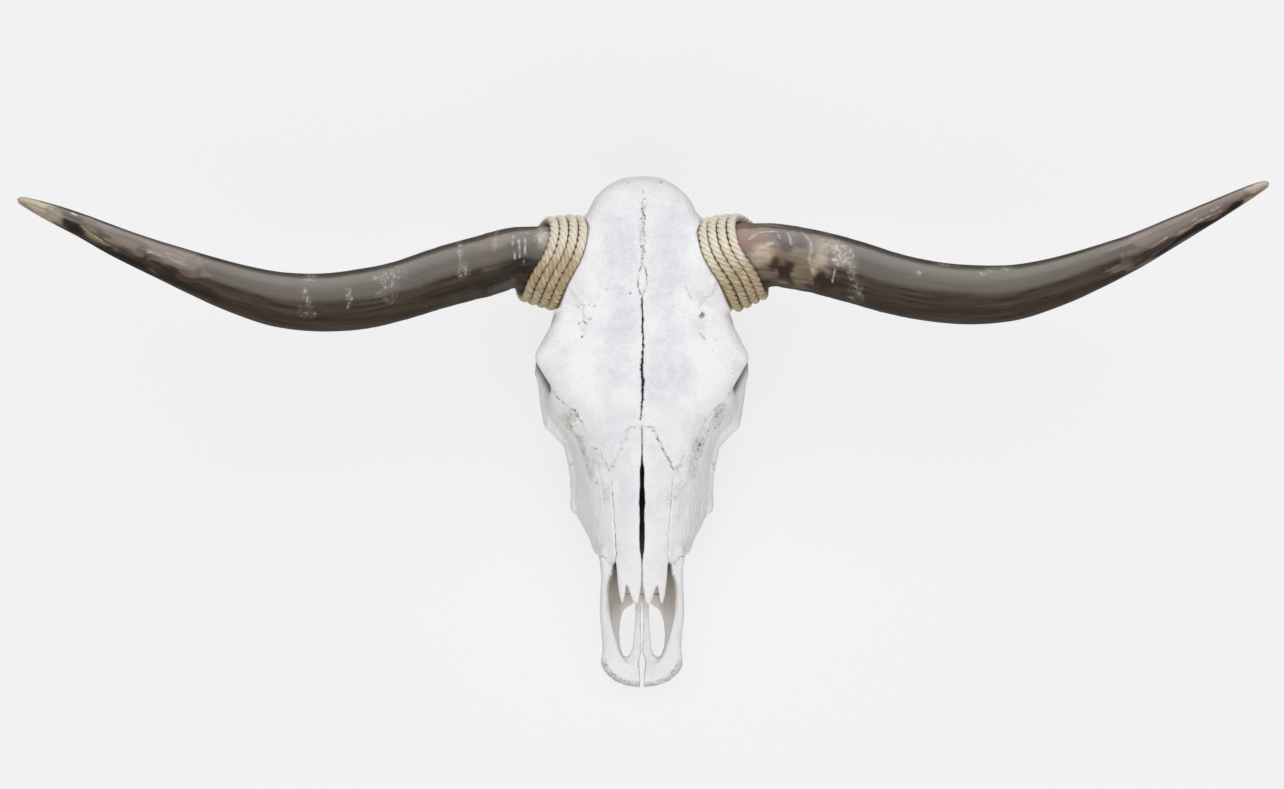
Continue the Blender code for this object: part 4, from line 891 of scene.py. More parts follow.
def teeth_clay(spacing):
    """The cheek teeth: ridged outside, worn level with crescents of enamel standing proud."""
    clay = Clay.over((26, 258, -186), (76, 400, -108), spacing)

    def upright(side, along, radius_above, radius_below):
        return rod((side, along, -110, radius_above), (side, along, -190, radius_below))

    for side, along, length, width in CHEEK_TEETH:
        clay.add(block((side, along, -150), (width, length - 0.4, 90), 3.2), blend=0.3)
        molar = length > 20
        cheek, tongue = side + width / 2, side - width / 2
        for share in (-0.48, 0, 0.48) if molar else (-0.4, 0.4):
            ridge = along + share * (length - 3)
            clay.add(rod((cheek - 0.6, ridge, -110, 1.6), (cheek - 1.4, ridge, -190, 1.9)), blend=2)
        for share in (-0.25, 0.25) if molar else (0,):
            middle = along + share * length
            clay.add(upright(tongue + 3, middle, 4, 4), blend=3)
            clay.carve(upright(cheek + 1.8, middle, 2.2, 2.6), blend=2)
            low = floor_height(middle)
            reach = length * (0.13 if molar else 0.22)
            for offset in (-0.2, 0.17):
                at = side + offset * width
                start, end = ((at + 1.2, middle + step, low, 1.1) for step in (-reach, reach))
                clay.carve(rod(start, (at - 0.8, middle, low - 0.5, 1.5), end), blend=1.0)
        if molar:
            low = floor_height(along)
            clay.carve(upright(tongue - 1, along, 1.8, 2.4), blend=2)
            clay.carve(
                rod((side - 0.3 * width, along, low, 1.0), (side + 0.3 * width, along, low, 1.0)), blend=1.0
            )
    _, along, up = clay.grids()
    clay.field = within(clay.field, (floor_height(along) - up) * math.cos(FACE_TILT), up + 118, blend=0.8)
    return clay


def new_mesh(name, points, faces):
    """A mesh from points in millimetres and faces of any number of sides."""
    mesh = bpy.data.meshes.new(name)
    mesh.from_pydata(points, [], faces)
    mesh.update()
    return mesh


def vectors(items, field):
    """One vector for each of a mesh's vertices, normals or faces."""
    values = np.empty(len(items) * 3, np.float32)
    items.foreach_get(field, values)
    return values.reshape(-1, 3)


def mesh_points(mesh):
    return vectors(mesh.vertices, "co")


def mesh_normals(mesh):
    return vectors(mesh.vertex_normals, "vector")


def refine(mesh, closeness, levels):
    """Splits the faces whose middle lies nearer to a feature than each level asks for."""
    for reach in levels:
        near = np.flatnonzero(closeness(vectors(mesh.polygons, "center")) < reach)
        if not len(near):
            return
        work = bmesh.new()
        work.from_mesh(mesh)
        work.faces.ensure_lookup_table()
        edges = {edge for i in near for edge in work.faces[i].edges}
        bmesh.ops.subdivide_edges(work, edges=list(edges), cuts=1, use_grid_fill=True)
        work.to_mesh(mesh)
        work.free()
        mesh.update()


def line_distance(place, points):
    """Distance over the face, in millimetres, to the edge of a line of (side, along, half width)."""
    points = np.array(points, float)
    nearest = np.full(len(place), 1e3, np.float32)
    for start, end in zip(points, points[1:]):
        way = (end - start)[:2]
        t = np.clip((place[:, :2] - start[:2]) @ way / way.dot(way), 0, 1)
        apart = np.hypot(*(place[:, :2] - start[:2] - t[:, None] * way).T)
        nearest = np.minimum(nearest, apart - (start[2] + t * (end[2] - start[2])))
    return nearest


def wandered(place, amount, wave, seed):
    """Places shifted sideways and lengthwise by noise, so that a line over them wanders."""
    flat = place * (1, 1, 0.2)
    shift = [noise(flat, wave, seed + i) + 0.6 * noise(flat, 0.42 * wave, seed + 7 + i) for i in (0, 3)]
    moved = place.copy()
    moved[:, :2] += amount * np.stack(shift, 1)
    return moved


def oval_distance(place, mark):
    """How far each place lies from the middle of an oval mark, in shares of its half size. A mark of six
    numbers is turned by its fifth, in degrees."""
    side, along, half_length, half_breadth = mark[:4]
    angle = math.radians(mark[4]) if len(mark) == 6 else 0.0
    across, down = place[:, 0] - side, place[:, 1] - along
    lengthwise = down * math.cos(angle) + across * math.sin(angle)
    breadthwise = across * math.cos(angle) - down * math.sin(angle)
    return np.hypot(lengthwise / half_length, breadthwise / half_breadth)


def suture_sets(place, upper):
    """The sutures by the side they show on: the lines, the places as those lines measure them, and which
    places are on that side."""
    above = place[:, 2] > upper(place) - 9
    turned = np.stack((place[:, 1], place[:, 2], np.abs(place[:, 0])), 1)
    beside = (np.abs(place[:, 0]) > 40) & ~above
    below = (place[:, 2] < -96) & (np.abs(place[:, 0]) < 42)
    return (SUTURES_ABOVE, place, above), (SUTURES_BESIDE, turned, beside), (SUTURES_BELOW, place, below)


def feature_closeness(upper):
    """A measure of how near a place is to a suture, a hole or rough bone."""

    def closeness(place):
        nearest = np.full(len(place), 1e3, np.float32)
        for sutures, turned, here in suture_sets(place, upper):
            for wander, _, _, _, points in sutures.values():
                nearest[here] = np.minimum(nearest[here], line_distance(turned[here], points) - wander)
        above = place[:, 2] > upper(place) - 9
        near = nearest[above]
        for side, along, radius, _, _ in FORAMINA:
            near = np.minimum(near, np.hypot(place[above, 0] - side, place[above, 1] - along) - radius)
        for mark in ROUGH_BONE:
            near = np.minimum(
                near, 2.0 + 6 * (oval_distance(place[above], mark) - 1.1) + 4 * (0.5 - mark[4])
            )
        nearest[above] = near
        return nearest

    return closeness


def upper_surface():
    """The height of the upper surface over any place."""
    step, start = 2.5, -15
    sides, alongs = np.arange(0, 125, step), np.arange(start, 555, step)
    grid = top_heights(sides, alongs)

    def at(place):
        i = np.clip(np.abs(place[:, 0]) / step, 0, len(sides) - 1.01)
        j = np.clip((place[:, 1] - start) / step, 0, len(alongs) - 1.01)
        i0, j0 = i.astype(int), j.astype(int)
        u, v = i - i0, j - j0
        low = grid[i0, j0] * (1 - u) + grid[i0 + 1, j0] * u
        high = grid[i0, j0 + 1] * (1 - u) + grid[i0 + 1, j0 + 1] * u
        return low * (1 - v) + high * v

    return at


def nearest_sample(field, axes, place):
    """The field's value at the grid point nearest to each place, on either side of the midline."""
    mirrored = (np.abs(place[:, 0]), place[:, 1], place[:, 2])
    index = [
        np.rint(np.interp(p, axis, np.arange(len(axis)))).astype(int) for p, axis in zip(mirrored, axes)
    ]
    return field[index[0], index[1], index[2]]


class Skin:
    """A bone's surface as it weathers and takes painted shade: its places, how far each rises, and how dark
    and how tan it turns.
    """

    def __init__(self, mesh, upper):
        self.place, self.normal = mesh_points(mesh), mesh_normals(mesh)
        self.side, self.along, self.up = self.place.T
        self.breadth = np.abs(self.side)
        self.height = self.up - upper(self.place)  # over the upper surface, so below it less than none
        self.on_top = eased(self.height, -10, -6) * eased(self.normal[:, 2], -0.1, 0.2)
        self.rise, self.dark, self.tan = np.zeros((3, len(self.place)), np.float32)

    def noise(self, size, seed, here=slice(None)):
        return noise(self.place[here], size, seed)

    def turn(self, kind, share, here=None):
        """Turns places "dark" or "tan", at least as far as the share says."""
        values = getattr(self, kind)
        if here is None:
            setattr(self, kind, np.maximum(values, share))
        else:
            values[here] = np.maximum(values[here], share)


def swell(skin):
    """Soft unevenness all over, lengthwise grain on the jaws, and the hollows and swellings of the face."""
    skin.rise = 0.35 * skin.noise(26, 1) + 0.2 * skin.noise(9, 2) + 0.11 * skin.noise((3, 5, 3), 3)
    jaw = eased(skin.along, 232, 262) * eased(skin.breadth, 30, 46) * (1 - eased(skin.along, 405, 440))
    grain = skin.noise((2.4, 17, 2.4), 4) + 0.6 * skin.noise((1.5, 7, 1.5), 6)
    skin.rise += jaw * (0.3 * grain + 0.25 * skin.noise((5, 30, 5), 7))
    skin.turn("tan", 0.24 * jaw * eased(grain + 0.5 * skin.noise(20, 8), 0.2, 1.1))
    for mark in RELIEF:
        skin.rise += skin.on_top * mark[5] * np.exp(-1.4 * oval_distance(skin.place, mark) ** 2)


def press_sutures(skin, upper):
    """Grooves along the sutures and cracks, broken here and there, with a low lip beside them."""
    for sutures, turned, here in suture_sets(skin.place, upper):
        here = np.flatnonzero(here)
        facing = skin.on_top[here] if sutures is SUTURES_ABOVE else np.ones(len(here))
        for k, (wander, wave, depth, darkness, points) in enumerate(sutures.values()):
            apart = line_distance(wandered(turned[here], wander, wave, 10 * k), points)
            groove = facing * (1 - eased(apart, -0.2, 0.5))
            lip = facing * (1 - eased(apart, 0.5, 2.4))
            is_open = depth > 2
            broken = 1.0 if is_open else np.clip(0.6 + 1.2 * skin.noise(3.0, 5 + k, here), 0, 1)
            skin.rise[here] -= depth * groove * broken - 0.12 * lip
            skin.turn("dark", darkness * groove * broken, here)
            skin.turn("tan", 0.3 * darkness * lip, here)


def press_holes(skin):
    """The holes for vessels and nerves, with uneven edges."""
    uneven = 1 + 0.35 * skin.noise(2.2, 31)
    for side, along, radius, depth, darkness in FORAMINA:
        apart = np.hypot(skin.side - side, skin.along - along) / (radius * uneven)
        pit = skin.on_top * (1 - eased(apart, 0.35, 1.15))
        skin.rise -= depth * pit
        skin.turn("dark", darkness * pit)


def roughen(skin):
    """Patches where the bone's tan, open inside shows."""
    patchy = np.clip(0.6 + 0.5 * skin.noise(11, 41) + 0.3 * skin.noise(3.5, 40), 0, 1)
    for *mark, strength in ROUGH_BONE:
        zone = 1 - eased(oval_distance(skin.place, mark), 0.35, 1.1)
        skin.turn("tan", skin.on_top * zone * strength * patchy)


def wear_front_lip(skin):
    """The muzzle's front lip: tan, ridged and a little worn down."""
    apart = line_distance(np.abs(skin.place) * (1, 1, 0), FRONT_LIP)
    lip = (1 - eased(apart, 5.0, 8.0)) * eased(skin.along, 503, 516)
    lip *= np.clip(0.8 + 0.5 * skin.noise((9, 1.6, 4), 42), 0, 1)
    skin.turn("tan", 0.85 * lip)
    skin.turn("dark", 0.16 * lip * eased(skin.noise((8, 1.5, 3), 46), -0.1, 0.5))
    skin.rise += 0.25 * lip * skin.noise((9, 1.8, 4), 44) - 0.5 * lip


def paint_socket_shade(skin):
    """Painted shade deep in the eye sockets and under their upper rims, in the dark brown of the sutures."""
    mirrored = np.where(skin.place[:, :1] < 0, (-1, 1, 1), (1, 1, 1))
    from_eye = skin.place * mirrored - ORBIT_CENTRE
    into = -from_eye @ (np.array(ORBIT_AXIS) / np.linalg.norm(ORBIT_AXIS))
    off_axis = np.sqrt(np.maximum(np.sum(from_eye**2, axis=1) - into**2, 0))
    how_far = np.maximum(np.linalg.norm(from_eye, axis=1), 1)
    facing = -np.sum(skin.normal * mirrored * from_eye, axis=1) / how_far
    socket = 1 - eased(off_axis, ORBIT_RADIUS + 1, ORBIT_RADIUS + 5)
    socket = socket * eased(into, -8, 12) * (1 - eased(into, 50, 70))
    socket *= eased(facing, 0.1, 0.5)
    skin.turn("dark", 0.62 * socket * np.clip(0.85 + 0.3 * skin.noise(9, 45), 0, 1))
    under_rim = 1 - eased(line_distance(np.abs(skin.place) * (1, 1, 0), SOCKET_RIM), 1, 10)
    under_rim *= (1 - eased(skin.along, 219, 234)) * (1 - eased(skin.height, -24, -12))
    under_rim *= eased(skin.normal[:, 2], 0.0, 0.4)
    skin.turn("dark", 0.8 * under_rim)


def paint_recess_shade(skin, clay):
    """Painted shade in tan, in sheltered corners, more of it low down."""
    reach = 9
    over = nearest_sample(clay.field, clay.axes, skin.place + reach * skin.normal)
    shelter = 1 - np.clip(over / reach, 0, 1)
    underneath = 1 - eased(skin.height, -60, -30)
    patchy = np.clip(0.8 + 0.8 * skin.noise(8, 43), 0, 1)
    skin.turn("tan", (0.25 + 0.35 * underneath) * shelter * patchy)


def open_pores(skin):
    """Pores and ridges wherever the bone is tan."""
    here = np.flatnonzero(skin.tan > 0.12)
    tan = skin.tan[here]
    pores = 1 - eased(cell_distance(skin.place[here], 2.2), 0.3, 0.95)
    pores *= eased(skin.noise(5, 47, here), -0.5, 0.2) * eased(tan, 0.12, 0.45)
    slanted = skin.place[here] @ ((0.8, 0.6, 0), (-0.6, 0.8, 0), (0, 0, 1))
    ridges = noise(slanted, (6.0, 1.7, 3), 48) * eased(tan, 0.1, 0.5)
    skin.rise[here] += 0.5 * ridges - 0.8 * pores
    skin.turn("dark", 0.55 * pores, here)
    skin.turn("dark", 0.3 * eased(-ridges, 0.25, 0.7), here)


def pit_midline(skin):
    """Dark grit along the closed part of the frontal suture."""
    wander = 1.2 * noise(skin.place * (0, 1, 0), 9, 51)
    band = (1 - eased(np.abs(skin.side - 1 - wander), 2.0, 5.0)) * skin.on_top
    band *= eased(skin.along, 8, 16) * (1 - eased(skin.along, 88, 96))
    here = np.flatnonzero(band > 0.05)
    grit = 1 - eased(cell_distance(skin.place[here] * (1, 0.8, 0), 3.4, 5), 0.5, 1.5)
    grit *= band[here] * eased(skin.noise(6, 53, here), -0.5, 0.2)
    skin.rise[here] -= 0.6 * grit
    skin.turn("dark", 0.85 * grit, here)


def paint_nose_shade(skin, clay, hollow):
    """Painted shade in the nose, darkest furthest back under the nasal bones, and on the walls of the gap
    between the nasal bones, with faint dark streaks. Returns how far each place is inside the nose.
    """
    inner = (1 - eased(np.abs(nearest_sample(hollow, clay.axes, skin.place)), 1.6, 3.2)).astype(np.float32)
    inner *= 1 - eased(skin.height, -4.5, -2.5)
    inner *= 1 - 0.9 * eased(skin.along + 0.35 * (30 - skin.breadth), 446, 470)
    skin.turn("dark", 0.2 * inner * eased(skin.noise((3.5, 14, 3.5), 55), 0.0, 0.7))
    far_in = np.interp(skin.along, (405, 426, 442, 456), (0.85, 0.35, 0.06, 0.0))
    skin.turn("dark", far_in * inner)
    # Painted shade on the walls of the gap between the nasal bones.
    gap_wall = 1 - eased(skin.breadth - nasal_gap(skin.along), 0.2, 1.4)
    deep = eased(-skin.height, 0.8, 2.4) * eased(skin.along, 284, 292)
    gap_wall *= deep * (1 - eased(skin.along, 404, 412))
    skin.turn("dark", 0.85 * gap_wall)
    return inner


def weather_and_shade(mesh, clay, hollow, upper):
    """Presses sutures, holes and pores into a bone, and paints shade into it. Returns its new places,
    what colours it, as dark, tan, inner and grey shares, of which grey is painted shade and dark and tan
    partly so, and where it is thin, a lavender that is partly painted shade and light."""
    skin = Skin(mesh, upper)
    swell(skin)
    press_sutures(skin, upper)
    press_holes(skin)
    roughen(skin)
    wear_front_lip(skin)
    paint_socket_shade(skin)
    paint_recess_shade(skin, clay)
    open_pores(skin)
    pit_midline(skin)
    inner = paint_nose_shade(skin, clay, hollow)
    # Painted shade: bone low on the face and beside the jaws is painted a warm grey, darker than the
    # forehead.
    grey = np.maximum(0.3 * eased(skin.along, 205, 262), eased(-skin.up, 24, 70))
    grey *= 1 - 0.65 * eased(skin.along + 0.6 * (30 - skin.breadth), 440, 500)
    # Lavender: random tone, and ovals that are partly painted shade and painted light.
    thin = 0.36 + 0.4 * skin.noise(24, 61) + 0.3 * skin.noise(9, 62)
    for mark in THIN_AND_SHADED_BONE:
        thin += mark[4] * (1 - eased(oval_distance(skin.place, mark), 0.3, 1.2))
    moved = skin.place + skin.normal * skin.rise[:, None]
    return moved, np.stack((skin.dark, skin.tan, inner, grey), 1), np.clip(thin, 0, 1)


def enclosed_volume(mesh):
    """Six times the volume inside a mesh, or less than none where its faces look inwards."""
    mesh.calc_loop_triangles()
    corners = np.empty(len(mesh.loop_triangles) * 3, np.int32)
    mesh.loop_triangles.foreach_get("vertices", corners)
    a, b, c = mesh_points(mesh)[corners.reshape(-1, 3).T]
    return float(np.sum(a * np.cross(b, c)))


def to_row(points):
    """Places on the skull as metres over the floor."""
    flipped = np.asarray(points, float) * (MM, -MM, MM)
    turn = np.array(TO_ROW.to_3x3())
    return flipped @ turn.T + np.array(FRAME_PLACE)


def finish_piece(name, mesh, points, material, nodes, attributes=()):
    """Makes a mesh a piece of the model: smooth, on the floor, standing for its CAD nodes."""
    row = to_row(points)
    row[:, 2] = np.maximum(row[:, 2], 0.0)
    mesh.vertices.foreach_set("co", row.astype(np.float32).ravel())
    for label, kind, values in attributes:
        field = {"FLOAT": "value", "FLOAT_COLOR": "color", "FLOAT_VECTOR": "vector"}[kind]
        mesh.attributes.new(label, kind, "POINT").data.foreach_set(field, values.astype(np.float32).ravel())
    if enclosed_volume(mesh) < 0:
        mesh.flip_normals()
    mesh.update()
    mesh.shade_smooth()
    mesh.materials.clear()
    mesh.materials.append(material)
    piece = bpy.data.objects.new(name, mesh)
    bpy.context.scene.collection.objects.link(piece)
    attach(piece, "root")
    if nodes:
        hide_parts(*nodes)
    return piece


def build_bones(settings):
    """Cranium, nasal bones and premaxillae."""
    spacing = settings.mesh_spacing / MM * 1
    clay, hollow = skull_clay(spacing)
    upper = upper_surface()
    closeness = feature_closeness(upper)
    material = bleached_bone(settings)
    cranium, nasal, premaxilla = split_bones(clay)
    whole = Clay(clay.axes, cranium).both_halves()
    for name in SIDES_OF_SKULL:
        whole.carve(horn_seat(name), blend=1.5)
    shapes = [("cranium", 1, surface_of(whole.field, whole.axes))]
    for bone, field in (("nasal", nasal), ("premaxilla", premaxilla)):
        surface = surface_of(field, clay.axes)
        shapes += [(f"{bone}_{name}", hand, surface) for name, hand in SIDES_OF_SKULL.items()]
    for name, hand, (points, faces) in shapes:
        mesh = new_mesh(f"{name}_bone", points * (hand, 1, 1), faces[:, ::hand])
        refine(mesh, closeness, REFINE_REACHES)
        moved, marks, thin = weather_and_shade(mesh, clay, hollow, upper)
        attributes = [("bone_marks", "FLOAT_COLOR", marks), ("thin_bone", "FLOAT", thin)]
        finish_piece(f"{name}_bone", mesh, moved, material, [name], attributes)


def build_teeth(settings):
    """Both rows of cheek teeth."""
    clay = teeth_clay(settings.tooth_spacing / MM * (1))
    points, faces = surface_of(clay.field, clay.axes)
    material = worn_tooth(settings)
    for name, hand in SIDES_OF_SKULL.items():
        mesh = new_mesh(f"cheek_teeth_{name}", points * (hand, 1, 1), faces[:, ::hand])
        place, normal = mesh_points(mesh), mesh_normals(mesh)
        worn = 1 - eased(place[:, 2] - floor_height(place[:, 1]), 0.3, 2.0)
        root = eased(place[:, 2] - floor_height(place[:, 1]), 8, 26)
        shelter = 1 - np.clip(nearest_sample(clay.field, clay.axes, place + 3 * normal) / 3, 0, 1)
        stain = np.clip(shelter + 0.5 * noise(place, (3, 3, 9), 61), 0, 1)
        rise = 0.12 * noise(place, (2.4, 2.4, 7), 62)
        marks = np.stack((worn, stain, root, shelter), 1)
        moved = place + normal * rise[:, None] * (1 - worn)[:, None]
        attributes = [("tooth_marks", "FLOAT_COLOR", marks)]
        finish_piece(f"cheek_teeth_{name}", mesh, moved, material, [], attributes)


# ---- Horns --------------------------------------------------------------------------------------------
def horn_curve(name):
    """The horn's middle line and radius by the distance from the bone."""
    stations = np.array(HORN_LINES[name], float)
    steps = np.linalg.norm(np.diff(stations[:, :3], axis=0), axis=1)
    return smooth(tuple(zip(np.concatenate(((0,), np.cumsum(steps))), stations))), steps.sum()


def horn_normal(name):
    """The way the horn leaves the bone, square to the turns of rope."""
    rise = HORN_RISE[name]
    across = SIDES_OF_SKULL[name] * math.cos(rise) * math.cos(HORN_LEAN)
    return np.array((across, -math.cos(rise) * math.sin(HORN_LEAN), math.sin(rise)))


def horn_seat(name):
    """The room in the bone for a horn and its rope: flat where the horn stands, and raised where the turns
    slide outwards."""
    centre, normal = horn_curve(name)[0](0.0)[:3], horn_normal(name)
    _, _, muzzlewards, upwards = (part[0] for part in horn_rings(name, np.zeros(1)))
    slide = smooth(ROPE_SLIDE[name])
    radius, length = 54, 90

    def distance(*place):
        offset = [p - c for p, c in zip(place, centre)]
        ahead = sum(o * n for o, n in zip(offset, normal))
        aside = np.sqrt(np.maximum(sum(o * o for o in offset) - ahead**2, 0))
        down = sum(o * m for o, m in zip(offset, muzzlewards))
        up = sum(o * u for o, u in zip(offset, upwards))
        raised = slide(np.degrees(np.arctan2(down, up))) * eased(aside, 34, 40)
        room = within(-SEAM - ahead + 0.85 * raised, aside - radius, blend=1.0)
        sheath = within(-SEAM - ahead, aside - 43.3 + 0.1 * ahead, blend=1.0)
        return joined(room, sheath, 0.5)

    return centre - length, centre + length, distance


def horn_rings(name, reaches):
    """Middles, radii, and spokes towards the muzzle and upwards, at some distances from the bone."""
    line, length = horn_curve(name)
    here = line(reaches)
    tangent = unit((line(np.minimum(reaches + 3, length)) - line(np.maximum(reaches - 3, 0)))[:, :3])
    # Under the rope the rings are parallel, and further out they stand square to the horn.
    share = eased(reaches, 36, 86)[:, None]
    normal = unit((1 - share) * horn_normal(name) + share * tangent)
    muzzlewards = unit(np.array((0.0, 1.0, 0.0)) - normal[:, 1:2] * normal)
    upwards = SIDES_OF_SKULL[name] * np.cross(normal, muzzlewards)
    return here[:, :3], here[:, 3], muzzlewards, upwards


def tube_faces(rings, sides):
    """The faces of a tube whose vertices run ring by ring, with one more vertex at each end to close it."""
    at = np.arange(rings * sides).reshape(rings, sides)
    following = np.roll(at, -1, axis=1)
    quads = np.stack((at[:-1], following[:-1], following[1:], at[1:]), -1).reshape(-1, 4)
    first, last = rings * sides, rings * sides + 1
    caps = [(first, b, a) for a, b in zip(at[0], following[0])]
    caps += [(last, a, b) for a, b in zip(at[-1], following[-1])]
    return quads.tolist() + caps


def ring_spokes(angles, first, second):
    """Directions at some angles round each ring, from its first direction towards its second."""
    cosines, sines = np.cos(angles)[None, :, None], np.sin(angles)[None, :, None]
    return cosines * first[:, None] + sines * second[:, None]


def closed(values):
    """A tube's values with two more, for the vertices that close its ends."""
    return np.concatenate((values, values[:1], values[-1:]))


def horn_patch(kind, patch, straight, k):
    """How a patch of one kind is broken up, from 0 to 1."""
    if kind == "chalk":
        flakes = noise(straight, (1.3, 1.9, 1.9), 130 + k) + 0.9 * noise(straight, 0.9, 150 + k)
        return patch * (0.1 + 0.9 * eased(flakes, 0.15, 0.95))
    if kind == "tan":
        clouds = 0.75 + 0.5 * noise(straight, (9, 4, 4), 130 + k)
        return patch * np.clip(clouds + 0.4 * noise(straight, (26, 2.2, 2.2), 150 + k), 0, 1)
    if kind == "pale":
        return patch * np.clip(0.85 + 0.4 * noise(straight, (30, 2.4, 2.4), 130 + k), 0, 1)
    if kind == "dark":
        return patch * eased(noise(straight, (40, 3.5, 3.5), 170 + k), -0.75, -0.1)
    return patch


def horn_marks(name, side, angle, straight, radius):
    """Pale, dark, chalky, mauve, tan, rosy and plum brown places on a horn, each as a share from 0 to 1."""
    kinds = ("pale", "dark", "chalk", "mauve", "tan", "rose", "plum")
    weights = {kind: np.zeros(len(side), np.float32) for kind in kinds}
    for k, (kind, start, end, low, high, strength, ragged) in enumerate(HORN_MARKS[name]):
        half, half_turn = abs(end - start) / 2, (high - low) / 2
        all_round = high - low == 360
        wide = noise(straight, (12, 8, 8), 70 + k) + 0.6 * noise(straight, (4, 3, 3), 90 + k)
        if all_round:
            wide = wide + 1.3 * noise(straight, (90, 3.2, 3.2), 50 + k)
        apart = np.abs((side - (start + end) / 2 + ragged * wide) / half)
        if not all_round:
            uneven = 57 * ragged / radius * noise(straight, (18, 6, 6), 110 + k)
            round_it = np.abs((np.degrees(angle) - (low + high) / 2 + uneven) / half_turn)
            apart = (apart**2.6 + round_it**2.6) ** (1 / 2.6)
        soft = min(0.75 if kind in ("pale", "tan", "rose") and half < 40 else 0.35, 6 / half)
        patch = horn_patch(kind, 1 - eased(apart, 1 - soft, 1 + soft), straight, k)
        weights[kind] = np.maximum(weights[kind], np.clip(strength * patch, 0, 1))
    for k, (kind, half_width, strength, points) in enumerate(HORN_STREAKS[name]):
        arc = np.stack((side, radius * angle), 1)
        arc += 0.7 * np.stack((noise(straight, 5, 190 + k), noise(straight, 5, 210 + k)), 1)
        apart = np.full(len(side), 1e3)
        for (side0, turn0), (side1, turn1) in zip(points, points[1:]):
            start = np.stack((np.full(len(side), side0), radius * math.radians(turn0)), 1)
            way = np.stack((np.full(len(side), side1 - side0), radius * math.radians(turn1 - turn0)), 1)
            t = np.clip(np.sum((arc - start) * way, 1) / np.maximum(np.sum(way * way, 1), 1e-6), 0, 1)
            apart = np.minimum(apart, np.linalg.norm(arc - start - t[:, None] * way, axis=1))
        streak = 1 - eased(apart, 0.3 * half_width, 1.5 * half_width)
        streak *= np.clip(0.75 + 0.6 * noise(straight, 2.6, 230 + k), 0, 1)
        weights[kind] = np.maximum(weights[kind], np.clip(strength * streak, 0, 1))
    return weights


def build_horns(settings):
    """The two horns: smooth and polished, with faint growth rings towards the bone."""
    material = polished_horn(settings)
    sides = 168
    ring_spacing, tip_length, tip_rings = 1.6, 12, 14
    for name in SIDES_OF_SKULL:
        _, length = horn_curve(name)
        # Towards the tip the rings draw closer together.
        tip = length - tip_length * np.cos(np.linspace(0, math.pi / 2, tip_rings))[1:] ** 1.5
        reaches = np.concatenate((np.arange(0, length - tip_length, ring_spacing), tip))
        reaches = np.clip(np.sort(reaches), 0, length)
        centres, radii, muzzlewards, upwards = horn_rings(name, reaches)
        angles = np.linspace(-math.pi, math.pi, sides, endpoint=False)
        spokes = ring_spokes(angles, upwards, muzzlewards)
        reach = np.repeat(reaches, sides)
        angle = np.tile(angles, len(reaches))
        radius = np.repeat(radii, sides)
        # The place on the horn as if it were straight.
        straight = np.stack((reach, radius * np.sin(angle), radius * np.cos(angle)), 1)
        surface = (centres[:, None] + radii[:, None, None] * spokes).reshape(-1, 3)
        marks = horn_marks(name, surface[:, 0], angle, straight, radius)
        near_bone = 1 - eased(reach, 90, 320)
        rise = 0.5 * noise(straight, (60, 30, 30), 21) + 0.12 * noise(straight, (16, 10, 10), 22)
        rise += near_bone * (
            0.22 * noise(straight, (5, 60, 60), 23) + 0.2 * noise(straight, (11, 50, 50), 24)
        )
        rise += 0.1 * marks["chalk"] * noise(straight, 2.0, 25)
        rise *= eased(reach, 0, 30) * (1 - eased(reach, length - 40, length - 4))
        risen = (radius + rise).reshape(len(reaches), sides, 1)
        points = (centres[:, None] + risen * spokes).reshape(-1, 3)
        points = np.concatenate((points, centres[:1], centres[-1:]))
        straight = np.concatenate((straight, ((0, 0, 0), (length, 0, 0))))
        # Between the turns the horn has kept brown dust.
        marks["dust"] = 1 - eased(reach - smooth(ROPE_SLIDE[name])(np.degrees(angle)), 31, 36)
        marks, tints = (
            closed(np.stack([marks[kind] for kind in kinds], 1))
            for kinds in (("pale", "dark", "chalk", "mauve"), ("tan", "rose", "dust", "plum"))
        )
        attributes = [
            ("horn_marks", "FLOAT_COLOR", marks),
            ("straight_horn", "FLOAT_VECTOR", straight * MM),
            ("horn_tints", "FLOAT_COLOR", tints),
        ]
        mesh = new_mesh(f"horn_sheath_{name}", points, tube_faces(len(reaches), sides))
        finish_piece(f"horn_sheath_{name}", mesh, points, material, [f"horn_{name}"], attributes)


# ---- Ropes --------------------------------------------------------------------------------------------
def rope_middle(name, diameter):
    """The middle of the rope and the way outwards from the horn: turns side by side, each stepping to the
    next under the horn."""
    per_turn = 240
    turn = np.arange(ROPE_TURNS * per_turn - per_turn // 16 + 1) / per_turn
    step = eased(turn % 1, 0.7, 1.0)
    reach = diameter / 2 + SEAM + ROPE_PITCH * (np.floor(turn) + step)
    reach = reach + 0.25 * np.sin(turn * 5.3 + 1) + 0.15 * np.sin(turn * 14.1)
    hand = SIDES_OF_SKULL[name]
    angle = 2 * math.pi * turn - hand * math.pi / 2
    reach = reach + smooth(ROPE_SLIDE[name])(np.degrees(np.arctan2(np.cos(angle), hand * np.sin(angle))))
    centres, radii, muzzlewards, upwards = horn_rings(name, reach)
    # The turns start under the horn and wind the same way about each horn's own line.
    out = np.cos(angle)[:, None] * muzzlewards + np.sin(angle)[:, None] * hand * upwards
    swing = radii + diameter / 2 + 1.5 * SEAM
    return centres + swing[:, None] * out, out


def along_line(points):
    steps = np.linalg.norm(np.diff(points, axis=0), axis=1)
    return np.concatenate(((0,), np.cumsum(steps)))


